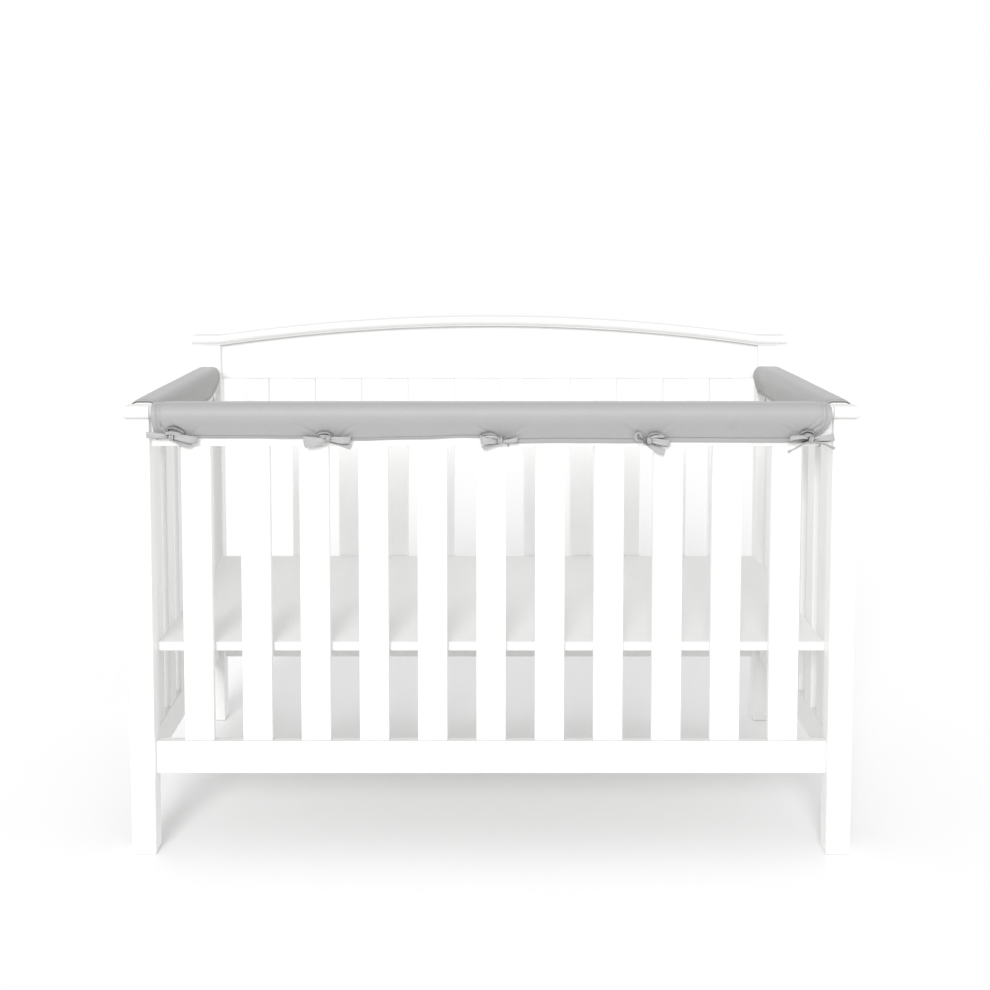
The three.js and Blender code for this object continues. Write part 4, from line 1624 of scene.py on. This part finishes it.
@dataclass
class Studio:
    """Floor, lights and camera.

    The camera looks down by 4 degrees and shifts its picture for the rest, which keeps the
    crib's uprights within two pixels of upright and the shift small for other views.
    """

    camera_at: tuple[float, float, float] = (-0.01794, -3.01739, 1.24878)
    look_down: float = 4.0
    lens: float = 49.737
    shift: tuple[float, float] = (0.0131, -0.1785)
    floor_wide: float = 24.0
    sky_strength: float = 0.84
    light_wide: float = 20.0  # degrees across, as seen from the crib
    key: tuple[float, float, float] = (-9, 22, 2.15)  # azimuth, elevation and strength
    fills: tuple[tuple[str, float, float, float], ...] = (
        ("left", -70, 28, 0.1),
        ("right", 70, 28, 0.12),
    )
    wood_fills: tuple[tuple[str, float, float, float], ...] = (
        ("wood_left", -78, 12, 1.0),
        ("wood_right", 78, 12, 1.0),
    )

    def build(self) -> None:
        """Makes everything that isn't part of the crib."""
        self.build_floor()
        self.build_world()
        self.build_light("front", *self.key)
        for name, azimuth, elevation, strength in self.fills:
            self.build_light(name, azimuth, elevation, strength, soft_fill=True)
        self.build_camera()

    def build_floor(self) -> None:
        """Lays a square sheet of paper 1 mm thick, its top at the crib's feet."""
        reach = self.floor_wide / 2
        points = box_points((-reach, -reach, -MM), (reach, reach, 0.0))
        floor = make_object("studio_floor", points, BOX_FACES, StudioPaper().material())
        floor.data.shade_flat()

    def build_world(self) -> None:
        """Makes an even white sky, a little brighter to the eye than it lights."""
        world = bpy.data.worlds.new("studio")
        world.use_nodes = True
        tree = world.node_tree
        tree.nodes.clear()
        white = {"Color": (1.0, 1.0, 1.0, 1.0)}
        sky = add_node(tree, "ShaderNodeBackground", {**white, "Strength": self.sky_strength})
        seen = add_node(tree, "ShaderNodeBackground", {**white, "Strength": 1.0})
        ray = add_node(tree, "ShaderNodeLightPath")
        mixed = add_node(
            tree,
            "ShaderNodeMixShader",
            links={0: ray.outputs["Is Camera Ray"], 1: sky.outputs[0], 2: seen.outputs[0]},
        )
        add_node(tree, "ShaderNodeOutputWorld", links={"Surface": mixed.outputs[0]})
        bpy.context.scene.world = world
        bpy.context.scene.view_settings.view_transform = "Standard"

    def fill_wood(self) -> None:
        """Adds two soft lights from the sides that reach only the painted wood.

        A catalogue picture is lit and printed so that white wood keeps no dark corner. These
        two lights give the same to the wood's shaded faces, and leave the cloth's shading alone.
        """
        wood = bpy.data.collections.new("painted_wood")
        for thing in bpy.context.scene.objects:
            if thing.type == "MESH" and thing.data.materials:
                if thing.data.materials[0].name.startswith("sprayed_pine"):
                    wood.objects.link(thing)
        for name, azimuth, elevation, strength in self.wood_fills:
            light = self.build_light(name, azimuth, elevation, strength, soft_fill=True)
            light.light_linking.receiver_collection = wood

    def build_light(
        self, name: str, azimuth: float, elevation: float, strength: float, soft_fill: bool = False
    ) -> bpy.types.Object:
        """Adds a broad, soft, far light.

        Args:
            name: The light's name.
            azimuth: Degrees from straight in front of the crib.
            elevation: Degrees from level.
            strength: Its strength in watts a square metre.
            soft_fill: Whether it lights without casting shadows, as a wall of white card does.

        Returns:
            The light's object.
        """
        lamp = bpy.data.lights.new(name, "SUN")
        lamp.angle = math.radians(self.light_wide)
        lamp.energy = strength
        lamp.use_shadow = not soft_fill
        thing = bpy.data.objects.new(name, lamp)
        thing.rotation_euler = (math.radians(90 - elevation), 0, math.radians(azimuth))
        bpy.context.scene.collection.objects.link(thing)
        return thing

    def build_camera(self) -> None:
        """Puts the camera at the photograph's place."""
        lens = bpy.data.cameras.new("camera")
        lens.lens = self.lens
        lens.shift_x, lens.shift_y = self.shift
        camera = bpy.data.objects.new("camera", lens)
        camera.location = self.camera_at
        camera.rotation_euler = (math.radians(90 - self.look_down), 0, 0)
        bpy.context.scene.collection.objects.link(camera)
        bpy.context.scene.camera = camera


# The crib

FRONT = RailFrame((0, -365.5), (1, 0), (0, -1))
LEFT = RailFrame((-687, 0), (0, 1), (-1, 0))
RIGHT = RailFrame((687, 0), (0, 1), (1, 0))

# The front cover's five bows from left to right, each tied by hand and so unlike the others
FRONT_BOWS = (
    Bow(
        at=-619,
        under=-606,
        up=-59,
        slant=0.25,
        strips=(
            # left tail
            (
                (-0.2, 0, 0.4, 6.8, 90, 0), (-11.8, 2, 1.9, 8.9, 90, 0),
                (-27.3, 3, 3.1, 10.9, 90, 0), (-48.5, 3, 4.5, 11.6, 93, 0),
            ),
            # small upper loop
            (
                (-1.5, -1, -0.6, 4.7, 230, -60), (-7.2, 0, 5.3, 5.4, 175, -74),
                (-7.9, 0, 13.1, 5.8, 135, -75), (-5.2, 1, 18.7, 7, 100, -70),
                (3.7, 2, 19.5, 7.8, 82, -68), (12.4, 2, 17.2, 7.8, 72, -68),
                (21.8, 1.5, 12.1, 7, 58, -70), (25.7, 0, 6.6, 5.8, 10, -75),
                (17.2, -0.5, 1.2, 5.4, -50, -72), (2.7, -1, -0.4, 4.7, -70, -60),
            ),
            # strip over the knot, left to right
            (
                (-11.4, 2, 6.6, 7, 92, 0), (-0.2, 4.5, 9.2, 7.4, 84, 0),
                (13.3, 5, 6.4, 7.4, 78, 0), (25.7, 3, 1.6, 7.4, 72, 0),
            ),
            # right loop
            (
                (-0.2, 2, 0.4, 6.8, 86, 0), (13.3, 5, 0, 11.6, 84, 0),
                (30.7, 6.5, -2.9, 14.7, 82, 0), (44.3, 4.5, -5.8, 14.4, 82, 0),
                (51, 0, -5.5, 12.8, 82, 0), (42.3, -0.5, -8.6, 12.4, 80, 0),
                (24.9, -0.5, -5.5, 11.6, 80, 0), (1.7, -1, -0.8, 6.8, 86, 0),
            ),
            # low loop under the right one
            (
                (-0.2, 0, -2, 6.8, 68, 0), (12.4, 0, -8.2, 12.4, 64, 0),
                (25.5, 0, -13.8, 14.6, 57, 0), (38.1, 0, -15.8, 16.7, 37, 0),
            ),
        ),
    ),
    Bow(
        at=-316,
        under=-281,
        up=-61,
        slant=-0.15,
        strips=(
            # left loop
            (
                (0, 2, -3.3, 7.8, 92, 0), (-15.1, 5, -5.7, 14.7, 95, 0),
                (-32.5, 6.5, -6.8, 20.2, 98, 0), (-44.8, 4, -7.4, 23.3, 101, 0),
                (-47.9, 0, -7.2, 23.3, 102, 0), (-34.4, -0.5, -8.4, 19, 98, 0),
                (-15.1, -0.5, -4.5, 13.6, 94, 0), (0, -1, 0.6, 7.8, 90, 0),
            ),
            # small upper loop
            (
                (-2.5, -1, -0.6, 4.7, 230, -60), (-17, 0, 0.6, 5.4, 190, -72),
                (-21.8, 0, 4.5, 5.8, 130, -75), (-18, 1, 9.2, 6.6, 110, -70),
                (-8.3, 2, 11.3, 7.4, 90, -68), (1.4, 1.5, 9.9, 6.6, 70, -70),
                (6.2, 0, 4.9, 5.8, 50, -75), (6.6, 0, 3.7, 5.4, 20, -74),
                (2.3, -1, -0.2, 4.7, -40, -60),
            ),
            # strip over the knot
            (
                (-20.9, 2, 1, 5.8, 98, 0), (-12.2, 4, 4.5, 6.6, 92, 0),
                (-1.5, 4.5, 3.7, 6.6, 84, 0), (8.1, 2, -0.2, 5.8, 76, 0),
            ),
            # right loop
            (
                (0, 2, -1.4, 7.8, 90, 0), (12, 5, -2.3, 10.9, 88, 0),
                (27.4, 6.5, -3.7, 13.6, 86, 0), (39, 4, -3.9, 13.6, 84, 0),
                (45.6, 0, -3.3, 12.4, 84, 0), (35.2, -0.5, -6, 12.6, 86, 0),
                (19.7, -0.5, -5.3, 10.7, 88, 0), (0.4, -1, -0.4, 7.8, 90, 0),
            ),
            # right tail
            (
                (0.4, -1, -4.3, 5.8, 70, 0), (15.9, -1, -9.2, 7, 68, 0),
                (33.2, -1, -15.4, 8.9, 64, 0), (44.8, -0.5, -19.3, 9.3, 58, 0),
            ),
        ),
    ),
    Bow(
        at=17,
        under=33,
        up=-66,
        slant=0.2,
        strips=(
            # left loop
            (
                (-0.2, 2, 0.6, 7.8, 90, 0), (-11.8, 5, 0, 10.9, 90, 0),
                (-25.3, 6.5, -0.4, 12.8, 90, 0), (-35, 4.5, 0.8, 15.5, 92, 0),
                (-39.2, 0, 3.9, 18.6, 95, 0), (-29.2, -3, 7, 14.5, 92, 0),
                (-13.7, -3, 6.6, 11.6, 90, 0), (-0.2, -1, 3.5, 7.8, 90, 0),
            ),
            # upper loop
            (
                (-2.1, -1, -0.4, 4.7, 240, -60), (-23.4, -0.5, 1.6, 5.4, 230, -72),
                (-35, 0, 4.7, 5.4, 185, -74), (-37.3, 0, 9, 5.8, 130, -75),
                (-32.7, 1, 12.5, 6.6, 105, -70), (-21.5, 2, 14.2, 7.4, 88, -68),
                (-11.8, 2, 12.9, 7, 70, -70), (-6.4, 0.5, 8.6, 5.8, 50, -75),
                (-5.2, 0, 7, 5.4, 20, -74), (-1, -1, 2.3, 4.7, -20, -60),
            ),
            # strip over the knot
            (
                (-36, 4, 6.2, 5, 90, 0), (-23.4, 6, 8.6, 5.8, 90, 0), (-11.8, 6, 8.2, 5.8, 84, 0),
                (-2.1, 4, 3.9, 5.8, 74, 0),
            ),
            # left tail
            (
                (-0.2, 1, -2.3, 5.8, 112, 0), (-15.7, 1.5, -8.2, 6.2, 112, 0),
                (-27.3, 1.5, -12.1, 7, 114, 0), (-34.4, 1, -14.6, 7.8, 120, 0),
            ),
            # right loop
            (
                (-0.2, 2, -0.4, 6.6, 90, 0), (11.4, 4, -1, 7.4, 90, 0), (23, 5, 0.4, 8.9, 90, 0),
                (31.7, 4, 2.5, 10.1, 92, 0), (35.2, 0, 3.5, 10.1, 92, 0),
                (24.9, -2.5, 2.9, 8.9, 90, 0), (11.4, -2, 1, 7, 90, 0),
                (-0.2, -1, 0.6, 6.6, 90, 0),
            ),
            # short right tail
            (
                (1.7, -1, -1.4, 5.8, 75, 10), (9.5, -1.5, -3.9, 5.8, 70, 35),
                (18.2, -2, -5.5, 5.4, 66, 55),
            ),
        ),
    ),
    Bow(
        at=306,
        under=308,
        up=-66,
        slant=0.35,
        strips=(
            # open ring on the left
            (
                (-1.2, -1, 0, 5, 275, -50), (-10.8, 0.5, -1.2, 5.8, 268, -52),
                (-18.6, 2, -1.9, 6.6, 255, -54), (-25.1, 3, 0, 7, 220, -52),
                (-28.2, 3.2, 7, 7.4, 180, -48), (-25.9, 3, 14.4, 7.4, 130, -52),
                (-21.6, 2.8, 17.2, 7.4, 90, -56), (-17.8, 2.2, 13.7, 7, 35, -50),
                (-16.6, 1.5, 6.6, 6.6, 5, -48), (-11.8, 0, 1.6, 5.8, -50, -50),
                (-3.1, -1, 0, 5.4, -85, -40),
            ),
            # upper loop
            (
                (-1.2, -1, 0.6, 4.7, 200, -60), (-2.7, 0, 5.5, 5.4, 170, -72),
                (-1.9, 0, 7, 5.8, 130, -75), (1.9, 1, 12.7, 6.6, 105, -70),
                (10.4, 2, 14.8, 7.4, 90, -68), (19.1, 2, 13.7, 6.6, 82, -70),
                (26.9, 1, 10.5, 5.8, 70, -75), (27.8, 0.5, 8.6, 5.4, 20, -74),
                (16.2, -0.5, 4.7, 5.4, -60, -72), (2.7, -1, 1.6, 4.7, -70, -60),
            ),
            # narrow loop over the knot
            (
                (-2.1, 2, 3.1, 5.8, 102, 0), (4.6, 4.5, 7.6, 6.2, 92, 0),
                (16.2, 5, 8.8, 6.2, 90, 0), (26.7, 3.5, 7.8, 6.2, 88, 0), (30.3, 0, 7, 5.8, 88, 0),
                (16.2, -2, 6.2, 5.8, 90, 0), (0.8, -1, 2.3, 5.8, 92, 0),
            ),
            # right loop
            (
                (0.8, 2, -0.4, 7.8, 90, 0), (10.4, 5, 0, 10.9, 88, 0),
                (24, 6.5, -2.7, 12.8, 86, 0), (35.6, 4.5, -4.3, 12.8, 84, 0),
                (41, 0, -4.3, 12, 84, 0), (31.7, -0.5, -7, 11.6, 84, 0),
                (14.3, -0.5, -4.3, 9.7, 84, 0), (0.8, -1, 0.6, 7.8, 90, 0),
            ),
            # right tail
            (
                (-11.8, -1, 0, 8.5, 62, 0), (0.8, 0, -8.8, 10.9, 62, 0),
                (14.3, 0.5, -16.8, 12, 62, 0), (29.6, 0.5, -23.2, 12.4, 66, 0),
            ),
        ),
    ),
    Bow(
        at=619,
        under=640,
        up=-63,
        slant=-0.3,
        strips=(
            # left loop
            (
                (-1, 2, 1.6, 6.6, 90, 0), (-14.5, 5, 4.5, 7.4, 88, 0), (-28, 7, 4.1, 8.1, 84, 0),
                (-38.7, 4.5, 1.8, 10.9, 76, 0), (-42.5, 0, 0.6, 12.8, 72, 0),
                (-31.9, -1, -2.9, 8.9, 84, 0), (-16.4, -1, -3.3, 8.1, 90, 0),
                (-1, -1, -2.3, 6.6, 90, 0),
            ),
            # right loop
            (
                (1, 2, -0.4, 7.8, 95, 0), (14.5, 4.5, 1.4, 9.7, 98, 0), (30, 5.5, 3.1, 12, 100, 0),
                (41.6, 3, 4.5, 14, 104, 0), (44.7, 0, 4.9, 13.6, 104, 0),
                (28, -0.5, -0.6, 11.6, 100, 0), (1, -1, 0.6, 7.8, 95, 0),
            ),
            # left string
            (
                (-1, 2, -2.9, 6.6, 118, 55), (-14.5, 3, -8, 7.4, 117, 58),
                (-28, 3, -15.8, 7.4, 117, 60), (-38.7, 2.5, -21.8, 7.8, 117, 56),
                (-42.3, 2.5, -23.6, 8.9, 117, 46), (-45.4, 2.5, -24.8, 7.8, 117, 44),
            ),
            # right string
            (
                (2.9, 2, -4.3, 6.6, 78, 55), (16.4, 3, -7, 8.1, 76, 56),
                (30, 3, -11.1, 7.8, 68, 60), (38.9, 2.5, -15.4, 7.8, 66, 56),
                (42.5, 2.5, -17.2, 9.3, 66, 46), (45.4, 2.5, -18.5, 8.1, 66, 44),
            ),
            # small upper loop
            (
                (-1.9, -1, -0.2, 4.7, 230, -60), (-15.5, -0.5, 3.7, 5.4, 200, -72),
                (-20.7, 0, 9.2, 5.8, 150, -75), (-17.2, 1, 14.2, 6.6, 120, -70),
                (-8.7, 2, 17.4, 7.4, 90, -68), (0.2, 1.5, 15.8, 6.6, 60, -70),
                (5.2, 0, 10.7, 5.8, 30, -75), (5.6, 0, 8.4, 5.4, 10, -74),
                (1.7, -1, 1.4, 4.7, -30, -60),
            ),
            # strip over the knot
            (
                (-19.1, 2, 2.9, 5.8, 102, 0), (-12.6, 4, 8.4, 6.2, 94, 0),
                (-2.9, 4.5, 8.8, 6.2, 84, 0), (5.8, 2, 3.7, 5.8, 64, 0),
            ),
        ),
    ),
)

# Strips of an even bow, for the side covers' ties
PLAIN_STRIPS = (
    # left loop
    (
        (0, 2, 0, 7, 90, 0), (-12, 5, 0.5, 10, 92, 0), (-28, 6.5, 1, 12, 94, 0),
        (-39, 4, 1.5, 12.5, 96, 0), (-42, 0, 1.5, 12.5, 96, 0), (-30, -2.5, 2.5, 12, 94, 0),
        (-12, -2, 2, 9, 92, 0), (0, -1, 1, 7, 90, 0),
    ),
    # right loop
    (
        (0, 2, 0, 7, 90, 0), (13, 5, 1, 10, 88, 0), (29, 6.5, 0, 12, 86, 0),
        (41, 4, -1, 12, 84, 0), (44, 0, -1, 12, 84, 0), (31, -2.5, 1, 11.5, 86, 0),
        (12, -2, 1.5, 9, 88, 0), (0, -1, 1, 7, 90, 0),
    ),
    # right tail
    ((0, 0, -2, 6.5, 56, 0), (12, 2, -9, 9, 56, 8), (27, 3, -20, 11, 54, 15), (39, 2, -29, 11, 48, 20)),
    # left tail
    (
        (0, 0, -2, 6.5, 124, 0), (-12, 2, -9, 9, 124, -8), (-28, 3, -20, 11, 126, -15),
        (-41, 2, -28, 11, 134, -20),
    ),
    # small upper loop
    (
        (-1, -1, 0, 4.6, 230, -60), (-9, 0, 1, 5.4, 190, -72), (-11, 0, 5, 6, 140, -75),
        (-9, 1, 9, 6.6, 108, -70), (0, 2, 11.5, 7.4, 90, -68), (9, 1.5, 9.5, 6.6, 70, -70),
        (12, 0, 4, 5.8, 40, -75), (9, 0, 1, 5.4, -10, -72), (1, -1, 0, 4.6, -50, -60),
    ),
    # strip over the knot
    ((-11, 2, 1, 5.8, 96, 0), (-3, 4.2, 5, 6.6, 90, 0), (6, 4, 4, 6.6, 84, 0), (12, 2, 0, 5.8, 78, 0)),
)


SIDE_KNOT_UP = -66


def plain_bow(at: float, lean: float, size: float) -> Bow:
    """Makes an even bow, a little larger or smaller and turned about its knot.

    Args:
        at: The knot's place along the rail.
        lean: How far the bow is turned, in degrees.
        size: Its size as a share of the usual.

    Returns:
        The bow, whose strap goes under the rail a little nearer its middle.
    """
    turn = math.radians(lean)
    strips = []
    for strip in PLAIN_STRIPS:
        rows = np.array(strip, dtype=float)
        along, up = rows[:, 0] * size, rows[:, 2] * size
        rows[:, 0] = along * math.cos(turn) - up * math.sin(turn)
        rows[:, 2] = along * math.sin(turn) + up * math.cos(turn)
        rows[:, 4] += lean
        strips.append(tuple(map(tuple, rows.tolist())))
    return Bow(at, at * 0.97, SIDE_KNOT_UP, turn * 2, tuple(strips))


SIDE_BOWS = (plain_bow(-305, 4, 1.0), plain_bow(0, -3, 0.94), plain_bow(299, 2, 1.03))


@dataclass
class Crib:
    """The whole crib: its top rails, its covers and ties, and then the rest of its woodwork."""

    cloth: WovenCotton = WovenCotton("woven_cotton_padded_cover", "#a1a1a1", "#979797")
    tape: WovenCotton = WovenCotton(
        "woven_cotton_folded_tie",
        "#ababab",
        "#9f9f9f",
        weave_mm=0.8,
        # the ties get deeper and wider painted shade in their folds than the cover does
        painted_shade_reach_mm=10.0,
        painted_shade_power=2.4,
    )
    thread: SewingThread = SewingThread("cotton_thread_twisted", "#adadad", "#929292")
    cap_round: float = 12.0
    cap_inner_round: float = 1.0

    def covers(self) -> list[RailCover]:
        """Gives the three covers their rails, rows, ends, ties and creases.

        Returns:
            The covers, front first.
        """
        front_ties = tuple(float(bow.at) for bow in FRONT_BOWS)
        side_ties = tuple(float(bow.at) for bow in SIDE_BOWS)
        side_seat = {"end_drop": 0.7, "ridge_clear": 1.6}
        return [
            RailCover(
                "front_rail_cover", "cover_front", FRONT, FRONT_ROWS, CoverEnd(-659, 6, 0, 0.8),
                CoverEnd(659, 42, 7), front_ties, FRONT_CREASES, 11, "rail_front_capped",
            ),
            RailCover(
                "left_rail_cover", "cover_left", LEFT, LEFT_ROWS, CoverEnd(-333, 8, 3),
                CoverEnd(312, 10, 6), side_ties, SIDE_CREASES, 23, "rail_left_capped", **side_seat,
            ),
            RailCover(
                "right_rail_cover", "cover_right", RIGHT, RIGHT_ROWS, CoverEnd(-333, 8, 3),
                CoverEnd(322, 18, 8), side_ties, SIDE_CREASES, 37, "rail_right_capped", **side_seat,
            ),
        ]

    def build_ties(self, cover: RailCover, cloth: bpy.types.Material) -> None:
        """Makes the ties of one cover.

        Args:
            cover: The cover, already built.
            cloth: The ties' finish.
        """
        bows = FRONT_BOWS if cover.rail is FRONT else SIDE_BOWS
        for k, bow in enumerate(bows, 1):
            node = f"{cover.node.replace('cover', 'tie')}_{k}"
            Tie(f"{node}_bow", node, cover.rail, bow, cover.seed * 10 + k).build(cloth, cover.piece)

    def build(self) -> None:
        """Makes every piece of the crib."""
        paint = {grain: SprayedPine(f"sprayed_pine_{grain.name}", grain).material() for grain in Grain}
        hands = ("left", "right")
        for hand in hands:
            CappedRail(f"rail_{hand}", Grain.Y).build(paint)
        CappedRail("rail_front", Grain.X).build(paint)
        cloth, tape, thread = self.cloth.material(), self.tape.material(), self.thread.material()
        for cover in self.covers():
            cover.build(cloth, thread)
            self.build_ties(cover, tape)
        posts = tuple(f"post_{depth}_{hand}" for depth in ("front", "back") for hand in hands)
        slats = tuple(f"slat_{depth}_{k:02d}" for depth in ("front", "back") for k in range(1, 12))
        Boards(posts, Grain.Z, 3.0).build(paint)
        Boards(slats, Grain.Z, 2.5).build(paint)
        Boards(("bottom_rail_front", "bottom_rail_back", "mattress_support"), Grain.X).build(paint)
        for hand in hands:
            SidePanel(f"side_panel_{hand}").build(paint)
            self.build_post_cap(hand, paint[Grain.X])
        Headboard().build(paint)

    def build_post_cap(self, hand: str, paint: bpy.types.Material) -> None:
        """Makes the bull-nosed cap of a front post.

        It is its node's box with rounded edges, far less so at the end that meets the cover:
        the bevel's radius times each edge's weight is its own radius.

        Args:
            hand: The side of the crib, left or right.
            paint: The cap's finish.
        """
        node = f"post_cap_{hand}"
        low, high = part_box(node)
        cap = make_object(f"{node}_nosed", box_points(low, high), BOX_FACES, paint)
        inner = high[0] if hand == "left" else low[0]
        points, edges = cap.data.vertices, cap.data.edges
        weight = cap.data.attributes.new("bevel_weight_edge", "FLOAT", "EDGE")
        for edge, share in zip(edges, weight.data):
            at_inner = all(abs(points[k].co.x - inner) < 0.5 * MM for k in edge.vertices)
            share.value = self.cap_inner_round / self.cap_round if at_inner else 1.0
        ease_edges(cap, self.cap_round, 10)
        cap.modifiers["eased_edges"].limit_method = "WEIGHT"
        stand_for(cap, Slot.PAINT, node)


def corners(box: tuple[Vector, Vector]) -> list[list[float]]:
    """A box's two corners as plain lists."""
    return [list(corner) for corner in box]


def main() -> None:
    """Builds the studio and the crib, then the lights that reach only the painted wood."""
    logging.basicConfig(level=logging.INFO, format="%(message)s")
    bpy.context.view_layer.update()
    studio = Studio()
    studio.build()
    Crib().build()
    studio.fill_wood()


if __name__ == "__main__":
    main()
